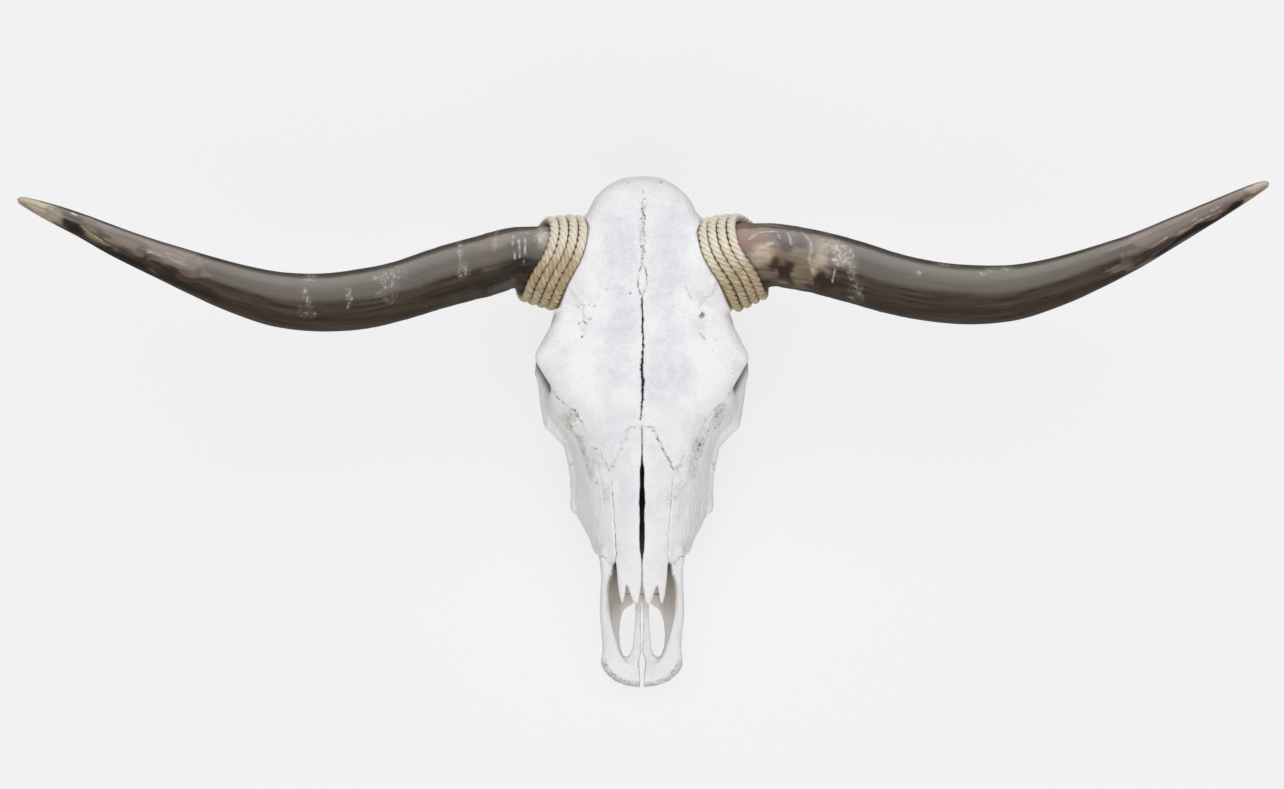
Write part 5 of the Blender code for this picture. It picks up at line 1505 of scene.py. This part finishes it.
def sweep(centres, first, tangents, radii, sides):
    """Vertices of a tube round a line, and the angle of each."""
    second = unit(np.cross(tangents, first))
    angles = np.linspace(0, 2 * math.pi, sides, endpoint=False)
    spokes = ring_spokes(angles, first, second)
    points = centres[:, None] + radii[..., None] * spokes
    return np.concatenate((points.reshape(-1, 3), centres[:1], centres[-1:])), angles


def gathered(tubes):
    """Several tubes as one: the points, the faces and each kind of value, one after the other."""
    points, faces, *values = zip(*tubes)
    starts = np.cumsum((0, *(len(part) for part in points))).tolist()
    faces = [[i + start for i in face] for start, part in zip(starts, faces) for face in part]
    return [np.concatenate(points), faces, *(np.concatenate(part) for part in values)]


def rope_strand(k, settings, stations, middle, out, beside):
    """One of the rope's strands, with its yarns: points, faces, place along and round its yarns, how deep
    between the strands, and how far the rope's outer side faces the muzzle."""
    sides = 16
    yarns, yarn_lay, taper_length = 5, 15, 2.2
    radius = settings.rope_diameter / MM / 2
    # Three round strands that touch, swollen by 12% so that they press into each other.
    strand_radius = radius / (1 + 2 / math.sqrt(3)) * 1.12
    turn = 2 * math.pi * (stations / (settings.strand_lay / MM) * settings.lay_hand + k / STRANDS)
    spoke = np.cos(turn)[:, None] * out + np.sin(turn)[:, None] * beside
    uneven = 1 + 0.035 * np.sin(stations / 7 + 2 * k) + 0.02 * np.sin(stations / 2.9 + k)
    centre = middle + (radius - strand_radius) * spoke
    way = unit(np.gradient(centre, axis=0))
    from_end = np.minimum(stations, stations[-1] - stations)
    taper = np.sqrt(np.clip(from_end / taper_length, 0.02, 1))
    twist = 2 * math.pi * stations[:, None] / yarn_lay * settings.lay_hand
    angle = np.linspace(0, 2 * math.pi, sides, endpoint=False)[None]
    ridges = 1 + 0.045 * np.cos(yarns * (angle - twist))
    radii = strand_radius * (uneven * taper)[:, None] * ridges
    points, angles = sweep(centre, square_to(spoke, way), way, radii, sides)
    twisted = angles[None] - twist
    apart = 400 * k  # so that no two strands have the same fibres
    yarn_place = np.stack((
        np.broadcast_to(stations[:, None] + apart, twisted.shape),
        strand_radius * np.cos(twisted), strand_radius * np.sin(twisted),
    ), -1).reshape(-1, 3)
    from_middle = points[:-2].reshape(len(stations), sides, 3) - middle[:, None]
    outward = np.sum(from_middle * out[:, None], 2) / radius
    from_line = np.linalg.norm(from_middle, axis=2) / radius
    # Painted shade: places deep between the strands or facing the horn are painted darker brown.
    deep = np.maximum(1 - eased(from_line, 0.6, 0.84), 1 - eased(outward, -0.3, 0.3)).reshape(-1)
    faces = tube_faces(len(stations), sides)
    return points, faces, closed(yarn_place), closed(deep), closed(np.repeat(out[:, 1], sides))


def finish_rope(name, mesh, points, material, nodes, yarn_place, shade, deep):
    attributes = [
        ("yarn_place", "FLOAT_VECTOR", yarn_place * MM),
        ("rope_shade", "FLOAT_COLOR", np.repeat(shade[:, None], 4, 1)),
        ("rope_crevice", "FLOAT", deep),
    ]
    finish_piece(name, mesh, points, material, nodes, attributes)


def build_ropes(settings):
    """Four turns of three-strand rope round each horn, with its ends tucked under."""
    diameter = settings.rope_diameter / MM
    material = sisal(settings)
    random = np.random.default_rng(5)
    for name, hand in SIDES_OF_SKULL.items():
        middle, out = rope_middle(name, diameter)
        length = along_line(middle)
        stations = np.arange(0, length[-1], 1.5)
        middle = np.stack([np.interp(stations, length, middle[:, i]) for i in range(3)], 1)
        out = np.stack([np.interp(stations, length, out[:, i]) for i in range(3)], 1)
        tangent = unit(np.gradient(middle, axis=0))
        out = square_to(out, tangent)
        beside = np.cross(tangent, out)
        points, faces, yarn_place, deep, facing = gathered(
            [rope_strand(k, settings, stations, middle, out, beside) for k in range(STRANDS)]
        )
        mesh = new_mesh(f"rope_turns_{name}", points, faces)
        # Painted shade: the rope is paler on its side towards the poll, where the light comes from, and
        # darker towards the muzzle; on the left horn it is painted a little paler.
        shade = eased(facing - 0.14 * hand + 0.12 * noise(points, 9, 81), -0.42, 0.55)
        finish_rope(f"rope_turns_{name}", mesh, points, material, [f"rope_{name}"], yarn_place, shade, deep)
        build_fibres(name, middle, out, beside, tangent, diameter, random, material)


def build_fibres(name, middle, out, beside, tangent, diameter, random, material):
    """Stray fibres that stand off the rope."""
    count = 320
    thickness, rings, sides = 0.09, 6, 3
    fibres = []
    for i in random.integers(3, len(middle) - 3, count):
        turn = random.uniform(-0.45, 0.45) * math.pi
        spoke = math.cos(turn) * out[i] + math.sin(turn) * beside[i]
        start = middle[i] + (diameter / 2 - 0.6) * spoke
        way = tangent[i] * random.choice((-1, 1)) + 0.55 * spoke + 0.5 * random.uniform(-1, 1, 3)
        way /= np.linalg.norm(way)
        reach = random.uniform(1.5, 4.5)
        t = np.linspace(0, 1, rings)[:, None]
        line = start + reach * (t * way - 0.55 * t**2 * spoke * random.uniform(0.2, 1)) + 0.3 * spoke * t
        tangents = unit(np.gradient(line, axis=0))
        first = np.cross(tangents, beside[i])
        first /= np.maximum(np.linalg.norm(first, axis=1), 1e-6)[:, None]
        radii = np.repeat(thickness * (1 - 0.7 * t), sides, 1)
        points, _ = sweep(line, first, tangents, radii, sides)
        fibres.append((points, tube_faces(rings, sides), np.repeat([[float(i), 0, 0]], len(points), 0)))
    points, faces, yarn_place = gathered(fibres)
    mesh = new_mesh(f"rope_fibres_{name}", points, faces)
    shade, deep = np.full(len(points), 0.4), np.zeros(len(points))
    finish_rope(f"rope_fibres_{name}", mesh, points, material, [], yarn_place, shade, deep)


# ---- Materials ----------------------------------------------------------------------------------------
def bleached_bone(settings):
    """Bone, boiled and bleached in the sun: chalk white, with lavender grey where it is thin and tan where
    its rough inside shows; fat left in the sutures has gone brown. Painted shade lies in it too: warm grey
    low on the face, and lavender, tan and dark brown in hollows, eye sockets and the nose."""
    made, tree, shader = new_material("bleached_bone")
    place = (node(tree, "TexCoord"), "Object")
    marks = node(tree, "Attribute", attribute_name="bone_marks")
    parts = node(tree, "SeparateColor", {0: (marks, "Color")})
    dark, tan, inner = ((parts, i) for i in range(3))
    thin = node(tree, "Attribute", attribute_name="thin_bone")
    mottle = node(
        tree, "TexNoise", {"Vector": place, "Scale": 1 / (9 * MM), "Detail": 6.0, "Roughness": 0.7}
    )
    flecks = node(
        tree, "TexNoise", {"Vector": place, "Scale": 1 / (2.6 * MM), "Detail": 3.0, "Roughness": 0.7}
    )
    patchy = node(tree, "MapRange", {0: mottle, 1: 0.38, 2: 0.64, 3: 0.55, 4: 1.0})
    fleck_share = node(tree, "MapRange", {0: flecks, 1: 0.42, 2: 0.62, 3: 0.3, 4: 1.0})
    fleck_more = node(tree, "MapRange", {0: flecks, 1: 0.35, 2: 0.65, 3: -0.22, 4: 0.28})
    # Lavender grey, partly painted shade, and white, partly painted light.
    thin_and_shade_share = {0: (thin, "Fac"), 1: patchy, 2: fleck_more}
    thin_and_shade_share = node(tree, "Math", thin_and_shade_share, operation="MULTIPLY_ADD", use_clamp=True)
    # Painted shade: the warm grey low on the face and beside the jaws.
    painted_shade_share = node(tree, "MapRange", {0: flecks, 1: 0.3, 2: 0.68, 3: 0.35, 4: 1.15})
    painted_shade_share = node(tree, "Math", {0: painted_shade_share, 1: (marks, "Alpha")}, operation="MULTIPLY")
    tan_share = node(tree, "Math", {0: tan, 1: fleck_share}, operation="MULTIPLY", use_clamp=True)
    colour = node(
        tree, "Mix", {0: thin_and_shade_share, 6: settings.bone_white, 7: settings.bone_grey}, data_type="RGBA"
    )
    # Tan and dark brown are partly painted shade, in sheltered corners, the eye sockets and the nose.
    for share, over in (
        (painted_shade_share, settings.bone_old),
        (tan_share, settings.bone_tan),
        (inner, settings.nose_brown),
        (dark, settings.suture_and_shade_brown),
    ):
        colour = node(tree, "Mix", {0: share, 6: (colour, 2), 7: over}, data_type="RGBA")
    # Grain runs lengthwise and is drawn about three times as coarse as bone's own 0.1 to 0.3 mm canals.
    stretched = node(tree, "Mapping", {"Vector": place, "Scale": (1.0, 0.3, 1.0)})
    grain = node(tree, "TexNoise", {"Vector": stretched, "Scale": 1 / (1.2 * MM), "Detail": 3.0})
    pits = node(tree, "TexVoronoi", {"Vector": place, "Scale": 1 / (3.2 * MM)}, feature="F1")
    pit_depth = node(tree, "MapRange", {0: pits, 1: 0.0, 2: 0.28, 3: 0.0, 4: 1.0})
    height = node(tree, "Math", {0: pit_depth, 1: 0.6, 2: grain}, operation="MULTIPLY_ADD")
    # Weathering has left shallow lengthwise furrows about 5 mm apart.
    furrows = {"Vector": stretched, "Scale": 1 / (5 * MM), "Detail": 4.0, "Roughness": 0.65}
    furrows = node(tree, "TexNoise", furrows)
    height = node(tree, "Math", {0: furrows, 1: 3.2, 2: height}, operation="MULTIPLY_ADD")
    bump = node(tree, "Bump", {"Height": height, "Strength": 0.6, "Distance": 0.4 * MM})
    rough = node(tree, "MapRange", {0: mottle, 1: 0.3, 2: 0.7, 3: 0.5, 4: 0.68})
    feed(shader, {"Base Color": (colour, 2), "Normal": bump, "Roughness": rough, "IOR": 1.55})
    return made


def worn_tooth(settings):
    """Cattle teeth: yellowed enamel ridges round darker dentine, with brown tartar towards the gum."""
    made, tree, shader = new_material("worn_tooth_enamel")
    place = (node(tree, "TexCoord"), "Object")
    marks = node(tree, "Attribute", attribute_name="tooth_marks")
    parts = node(tree, "SeparateColor", {0: (marks, "Color")})
    _, stained, root = ((parts, i) for i in range(3))
    streaks = node(tree, "Mapping", {"Vector": place, "Scale": (1.0, 1.0, 0.2)})
    stain = node(tree, "TexNoise", {"Vector": streaks, "Scale": 1 / (2.5 * MM), "Detail": 4.0})
    colour = node(tree, "Mix", {0: root, 6: settings.enamel, 7: settings.cement}, data_type="RGBA")
    share = node(tree, "Math", {0: stained, 1: stain}, operation="MULTIPLY", use_clamp=True)
    colour = node(tree, "Mix", {0: share, 6: (colour, 2), 7: settings.tartar}, data_type="RGBA")
    bump = node(tree, "Bump", {"Height": stain, "Strength": 0.3, "Distance": 0.2 * MM})
    feed(shader, {"Base Color": (colour, 2), "Normal": bump, "Roughness": 0.38, "IOR": 1.6})
    return made


def polished_horn(settings):
    """Keratin, scraped and polished: dark and glossy, with streaks along its fibres, mauve and cream where
    its layers thin out, and chalky scuffs."""
    made, tree, shader = new_material("polished_horn")
    straight = (node(tree, "Attribute", attribute_name="straight_horn"), "Vector")
    marks, tints = (node(tree, "Attribute", attribute_name=name) for name in ("horn_marks", "horn_tints"))
    parts, more = (node(tree, "SeparateColor", {0: (colours, "Color")}) for colours in (marks, tints))
    pale, dark, chalk = ((parts, i) for i in range(3))
    tan, rose, dust = ((more, i) for i in range(3))
    fibres = node(tree, "Mapping", {"Vector": straight, "Scale": (0.07, 1.0, 1.0)})
    streak = node(
        tree, "TexNoise", {"Vector": fibres, "Scale": 1 / (5 * MM), "Detail": 6.0, "Roughness": 0.6}
    )
    cloud = node(tree, "TexNoise", {"Vector": straight, "Scale": 1 / (30 * MM), "Detail": 4.0})
    # Horn's own fibres are some 0.1 mm thick, and are drawn ten times as coarse so that they show.
    fine = node(tree, "TexNoise", {"Vector": fibres, "Scale": 1 / (1.1 * MM), "Detail": 3.0})
    share = node(tree, "MapRange", {0: streak, 1: 0.38, 2: 0.66})
    mauve_share = node(tree, "MapRange", {0: streak, 1: 0.3, 2: 0.55, 3: 0.15, 4: 1.0})
    mauve_share = node(tree, "Math", {0: mauve_share, 1: (marks, "Alpha")}, operation="MULTIPLY")
    tan_share = node(tree, "MapRange", {0: cloud, 1: 0.35, 2: 0.6, 3: 0.3, 4: 1.0})
    tan_share = node(tree, "Math", {0: tan_share, 1: tan}, operation="MULTIPLY")
    pale_share = node(tree, "MapRange", {0: streak, 1: 0.3, 2: 0.6, 3: 0.5, 4: 1.0})
    pale_share = node(tree, "Math", {0: pale_share, 1: pale}, operation="MULTIPLY")
    colour = node(tree, "Mix", {0: share, 6: settings.horn_dark, 7: settings.horn_brown}, data_type="RGBA")
    for share, over in (
        (mauve_share, settings.horn_mauve),
        (tan_share, settings.horn_tan),
        (rose, settings.horn_rose),
        (pale_share, settings.horn_cream),
        ((tints, "Alpha"), settings.horn_plum),
        (dark, settings.horn_black),
        (chalk, settings.horn_chalk),
        (dust, settings.rope_dust),
    ):
        colour = node(tree, "Mix", {0: share, 6: (colour, 2), 7: over}, data_type="RGBA")
    # Chalky places and dust are matt, and dust has no coat over it.
    gloss = node(tree, "MapRange", {0: streak, 1: 0.35, 2: 0.65, 3: 0.24, 4: 0.4})
    gloss = node(tree, "Math", {0: chalk, 1: 0.45, 2: gloss}, operation="MULTIPLY_ADD")
    gloss = node(tree, "Math", {0: dust, 1: 0.5, 2: gloss}, operation="MULTIPLY_ADD")
    coat = node(tree, "Math", {0: dust, 1: -0.55, 2: 0.55}, operation="MULTIPLY_ADD")
    bump = node(tree, "Bump", {"Height": fine, "Strength": 0.12, "Distance": 0.2 * MM})
    feed(shader, {"Base Color": (colour, 2), "Roughness": gloss, "Normal": bump, "IOR": 1.62})
    feed(shader, {"Specular Tint": (1.0, 0.95, 0.9, 1.0), "Coat Tint": (1.0, 0.97, 0.93, 1.0)})
    feed(shader, {"Coat Weight": coat, "Coat Roughness": 0.34, "Coat IOR": 1.6})
    return made


def sisal(settings):
    """Sisal, combed and laid into three strands: straw coloured, matt, with fine fibres along each yarn."""
    made, tree, shader = new_material("sisal_rope")
    yarn = (node(tree, "Attribute", attribute_name="yarn_place"), "Vector")
    shaded = (node(tree, "Attribute", attribute_name="rope_shade"), "Fac")
    crevice = (node(tree, "Attribute", attribute_name="rope_crevice"), "Fac")
    # Sisal fibres are 0.2 mm thick, and they are drawn twice as coarse so that they show.
    fibre_place = node(tree, "Mapping", {"Vector": yarn, "Scale": (0.06, 1.0, 1.0)})
    fibre = node(tree, "TexNoise", {"Vector": fibre_place, "Scale": 1 / (0.4 * MM), "Detail": 2.0})
    bundle = node(tree, "TexNoise", {"Vector": fibre_place, "Scale": 1 / (1.6 * MM), "Detail": 3.0})
    patch = node(tree, "TexNoise", {"Vector": yarn, "Scale": 1 / (11 * MM), "Detail": 3.0})
    # Painted shade: away from the poll the straw is mixed to olive, with more dark fibres and spots.
    sunny_share = node(tree, "MapRange", {0: bundle, 1: 0.3, 2: 0.7})
    sunny = node(
        tree, "Mix", {0: sunny_share, 6: settings.rope_straw, 7: settings.rope_light}, data_type="RGBA"
    )
    shaded_straw_share = node(tree, "MapRange", {0: bundle, 1: 0.3, 2: 0.7, 3: 0.0, 4: 0.65})
    shaded_straw = node(
        tree, "Mix", {0: shaded_straw_share, 6: settings.rope_shaded_olive, 7: settings.rope_straw}, data_type="RGBA"
    )
    shadedness = node(tree, "Math", {0: shaded, 1: 0.75, 2: 0.2}, operation="MULTIPLY_ADD")
    dark_share = node(tree, "MapRange", {0: fibre, 1: 0.56, 2: 0.72, 3: 0.0, 4: 0.75})
    dark_share = node(tree, "Math", {0: dark_share, 1: shadedness}, operation="MULTIPLY")
    spot_share = node(tree, "MapRange", {0: patch, 1: 0.55, 2: 0.75, 3: 0.0, 4: 0.45})
    spot_share = node(tree, "Math", {0: spot_share, 1: shadedness}, operation="MULTIPLY")
    # Painted shade deep between the strands.
    crevice_share = node(tree, "Math", {0: crevice, 1: 0.6}, operation="MULTIPLY")
    colour = node(tree, "Mix", {0: shaded, 6: (sunny, 2), 7: (shaded_straw, 2)}, data_type="RGBA")
    for share, over in (
        (dark_share, settings.rope_shade),
        (spot_share, settings.rope_shade),
        (crevice_share, settings.rope_crevice),
    ):
        colour = node(tree, "Mix", {0: share, 6: (colour, 2), 7: over}, data_type="RGBA")
    height = node(tree, "Math", {0: fibre, 1: 0.5, 2: bundle}, operation="MULTIPLY_ADD")
    bump = node(tree, "Bump", {"Height": height, "Strength": 0.7, "Distance": 0.4 * MM})
    feed(shader, {"Base Color": (colour, 2), "Normal": bump, "Roughness": 0.85})
    feed(shader, {"Sheen Weight": 0.3, "Sheen Roughness": 0.5})
    return made


def backdrop_board(settings):
    """A pale, evenly lit board, as under a museum piece: matt, with a little light of its own, which softens
    shadows."""
    made, _, shader = new_material("backdrop_board")
    feed(shader, {"Base Color": settings.floor_colour, "Roughness": 0.9, "Specular IOR Level": 0.1})
    feed(shader, {"Emission Color": WHITE, "Emission Strength": settings.floor_glow})
    return made


# ---- Stage --------------------------------------------------------------------------------------------
def skull_place(side, along, up):
    """A place on the skull in the row's metres."""
    return Vector(to_row([(side, along, up)])[0])


def build_stage(settings):
    """Floor, camera at the photograph's angle, and soft light from the poll's side."""
    floor_mesh = bpy.data.meshes.new("floor_board")
    half = settings.floor_size / 2
    floor_mesh.from_pydata(
        [(-half, -half, 0), (half, -half, 0), (half, half, 0), (-half, half, 0)], [], [(0, 1, 2, 3)]
    )
    floor_mesh.materials.append(backdrop_board(settings))
    floor = bpy.data.objects.new("floor_board", floor_mesh)
    floor.location.z = -FLOOR_DROP
    floor.visible_glossy = False
    bpy.context.scene.collection.objects.link(floor)

    turn = TO_ROW.to_3x3().to_4x4()
    middle = skull_place(*FACE_MIDDLE)
    view = bpy.data.cameras.new("camera")
    view.sensor_width = SENSOR
    view.lens = SENSOR * CAMERA_DISTANCE / PHOTO_WIDTH
    view.clip_start, view.clip_end = 0.1, 50
    camera = bpy.data.objects.new("camera", view)
    camera.matrix_world = turn
    camera.location = middle + turn.to_3x3() @ Vector((0, 0, CAMERA_DISTANCE * MM))
    bpy.context.scene.collection.objects.link(camera)
    bpy.context.scene.camera = camera

    for name, way, distance, size, strength, seen_by in (
        ("softbox_over_poll", (0.03, 0.53, 0.85), 2.6, (5.0, 2.7), settings.key_light, "diffuse glossy"),
        ("softbox_behind_poll", (0.0, 1.0, 0.09), 2.6, (5.0, 2.4), settings.edge_light, "glossy"),
        ("softbox_in_front", (0.0, -0.55, 0.83), 4.0, (4.5, 3.0), settings.fill_light, "diffuse"),
    ):
        light = bpy.data.lights.new(name, "AREA")
        light.shape = "RECTANGLE"
        light.size, light.size_y = size
        light.energy = strength * math.pi * size[0] * size[1]
        lamp = bpy.data.objects.new(name, light)
        lamp.visible_diffuse = "diffuse" in seen_by
        lamp.visible_glossy = "glossy" in seen_by
        direction = (turn.to_3x3() @ Vector(way)).normalized()
        lamp.location = middle + distance * direction
        lamp.rotation_euler = direction.to_track_quat("Z", "Y").to_euler()
        bpy.context.scene.collection.objects.link(lamp)

    world = bpy.data.worlds.new("studio")
    world.use_nodes = True
    feed(world.node_tree.nodes["Background"], {"Color": WHITE, "Strength": settings.room_light})
    bpy.context.scene.world = world
    bpy.context.scene.view_settings.view_transform = "Standard"


# ---- Settings, operators and panel --------------------------------------------------------------------
def colour_property(name, description, colour):
    return FloatVectorProperty(
        name=name, description=description, subtype="COLOR", size=4, min=0, max=1, default=linear(colour)
    )


class BoneSettings(bpy.types.PropertyGroup):
    mesh_spacing: FloatProperty(
        name="Mesh spacing", description="Spacing of the bone's mesh", default=1.5 * MM, unit="LENGTH",
        precision=5
    )
    tooth_spacing: FloatProperty(
        name="Tooth mesh spacing", description="Spacing of the teeth's mesh", default=1.05 * MM,
        unit="LENGTH", precision=5
    )
    bone_white: colour_property("Bone", "Bleached bone", "#F9F9FA")
    # Also the colour of painted shade in the face's hollows and on its sloping sides.
    bone_grey: colour_property("Thin bone", "Lavender grey of thin bone", "#E2E0E8")
    # Painted shade: the warm grey laid low on the face.
    bone_old: colour_property("Old bone", "Warm grey bone low on the face", "#F3F1EE")
    # Also the colour of the painted shade in sheltered corners.
    bone_tan: colour_property("Rough bone", "Tan of rough, open bone", "#A99B88")
    nose_brown: colour_property("Nose", "Inside of the nose", "#DED5CC")
    # Also the colour of the painted shade in the eye sockets, the nose and the gap between the nasal bones.
    suture_and_shade_brown: colour_property("Sutures", "Old fat and dirt in sutures and holes", "#2B211B")
    enamel: colour_property("Enamel", "Enamel of the cheek teeth", "#D9CDB4")
    cement: colour_property("Cement", "Tooth cement towards the gum", "#BFA887")
    tartar: colour_property("Tartar", "Brown deposit on the teeth", "#4A3524")


class HornSettings(bpy.types.PropertyGroup):
    horn_dark: colour_property("Dark horn", "The horn's darker streaks", "#2C2219")
    horn_brown: colour_property("Brown horn", "The horn's olive brown body", "#4A3E2E")
    horn_mauve: colour_property("Mauve horn", "Translucent mauve layers", "#71605A")
    horn_tan: colour_property("Tan horn", "Tan clouds near the bone", "#85745C")
    horn_cream: colour_property("Cream horn", "Pale tips and clouds", "#C6B5A2")
    horn_black: colour_property("Black horn", "Black streaks and bands", "#15100D")
    horn_plum: colour_property("Plum brown horn", "Dark purplish patches near the bone", "#33211D")
    horn_chalk: colour_property("Chalky scuffs", "White, dry, flaking horn", "#D6D2CD")
    horn_rose: colour_property("Rosy horn", "A reddish layer near the bone", "#7E5A4C")
    rope_dust: colour_property("Dust under the rope", "Brown fibre dust between the turns", "#B0945F")


class RopeSettings(bpy.types.PropertyGroup):
    rope_diameter: FloatProperty(
        name="Diameter", description="Thickness of the rope", default=9.6 * MM, unit="LENGTH", precision=4
    )
    strand_lay: FloatProperty(
        name="Lay", description="Length in which a strand goes once round the rope", default=23 * MM,
        unit="LENGTH"
    )
    lay_hand: IntProperty(
        name="Hand of the lay", description="1 or -1: which way the strands turn", default=1, min=-1, max=1
    )
    rope_light: colour_property("Light fibres", "Sunlit straw", "#FFF9EC")
    rope_straw: colour_property("Straw", "The rope's main colour", "#F3E6C8")
    # Painted shade on the rope's side away from the poll.
    rope_shaded_olive: colour_property("Dusty straw", "The rope's side away from the poll", "#8F764A")
    rope_shade: colour_property("Dark fibres", "Brown fibres and dust", "#8A7248")
    # Painted shade deep between the strands.
    rope_crevice: colour_property("Crevices", "Brown dust deep between the strands", "#6E5530")


class StageSettings(bpy.types.PropertyGroup):
    floor_size: FloatProperty(
        name="Floor size", description="Side of the square floor", default=8.0, unit="LENGTH"
    )
    floor_colour: colour_property("Floor", "The pale board under the skull", "#7C7C7C")
    floor_glow: FloatProperty(
        name="Floor glow", description="Light of the board's own", default=0.71, min=0
    )
    key_light: FloatProperty(
        name="Key light", description="Radiance of the softbox over the poll", default=1.41, min=0
    )
    edge_light: FloatProperty(
        name="Edge light", description="Radiance that the horns' upper edges reflect", default=2.25, min=0
    )
    fill_light: FloatProperty(
        name="Fill light", description="Radiance of the softbox beside the camera", default=2.2, min=0
    )
    room_light: FloatProperty(
        name="Room light", description="Even light from all round", default=0.13, min=0
    )


class SKULL_OT_build_bones(bpy.types.Operator):
    """Build the cranium, the nasal bones and the premaxillae"""

    bl_idname = "skull.build_bones"
    bl_label = "Build Bones"

    def execute(self, context):
        build_bones(context.scene.skull_bone)
        return {"FINISHED"}


class SKULL_OT_build_teeth(bpy.types.Operator):
    """Build the two rows of cheek teeth"""

    bl_idname = "skull.build_teeth"
    bl_label = "Build Teeth"

    def execute(self, context):
        build_teeth(context.scene.skull_bone)
        return {"FINISHED"}


class SKULL_OT_build_horns(bpy.types.Operator):
    """Build the two horns"""

    bl_idname = "skull.build_horns"
    bl_label = "Build Horns"

    def execute(self, context):
        build_horns(context.scene.skull_horn)
        return {"FINISHED"}


class SKULL_OT_build_ropes(bpy.types.Operator):
    """Wind the rope round each horn"""

    bl_idname = "skull.build_ropes"
    bl_label = "Build Ropes"

    def execute(self, context):
        build_ropes(context.scene.skull_rope)
        return {"FINISHED"}


class SKULL_OT_set_stage(bpy.types.Operator):
    """Set up the floor, the camera and the lights"""

    bl_idname = "skull.set_stage"
    bl_label = "Set Stage"

    def execute(self, context):
        build_stage(context.scene.skull_stage)
        return {"FINISHED"}


OPERATORS = (
    SKULL_OT_build_bones, SKULL_OT_build_teeth, SKULL_OT_build_horns, SKULL_OT_build_ropes,
    SKULL_OT_set_stage,
)
SETTINGS = {
    "skull_bone": BoneSettings,
    "skull_horn": HornSettings,
    "skull_rope": RopeSettings,
    "skull_stage": StageSettings,
}


class SKULL_PT_panel(bpy.types.Panel):
    """Lists the skull's settings and the steps that build it"""

    bl_idname = "SKULL_PT_panel"
    bl_label = "Longhorn Steer Skull"
    bl_space_type = "VIEW_3D"
    bl_region_type = "UI"
    bl_category = "Skull"

    def draw(self, context):
        for operator in OPERATORS:
            self.layout.operator(operator.bl_idname)
        for name in SETTINGS:
            box = self.layout.box()
            group = getattr(context.scene, name)
            for setting in group.bl_rna.properties:
                if setting.identifier not in ("rna_type", "name"):
                    box.prop(group, setting.identifier)


def register():
    for kind in (*SETTINGS.values(), *OPERATORS, SKULL_PT_panel):
        bpy.utils.register_class(kind)
    for name, kind in SETTINGS.items():
        setattr(bpy.types.Scene, name, PointerProperty(type=kind))


def unregister():
    for name in SETTINGS:
        delattr(bpy.types.Scene, name)
    for kind in reversed((*SETTINGS.values(), *OPERATORS, SKULL_PT_panel)):
        bpy.utils.unregister_class(kind)


def main():
    register()
    bpy.ops.skull.build_bones()
    bpy.ops.skull.build_teeth()
    bpy.ops.skull.build_horns()
    bpy.ops.skull.build_ropes()
    bpy.ops.skull.set_stage()


if __name__ == "__main__":
    main()
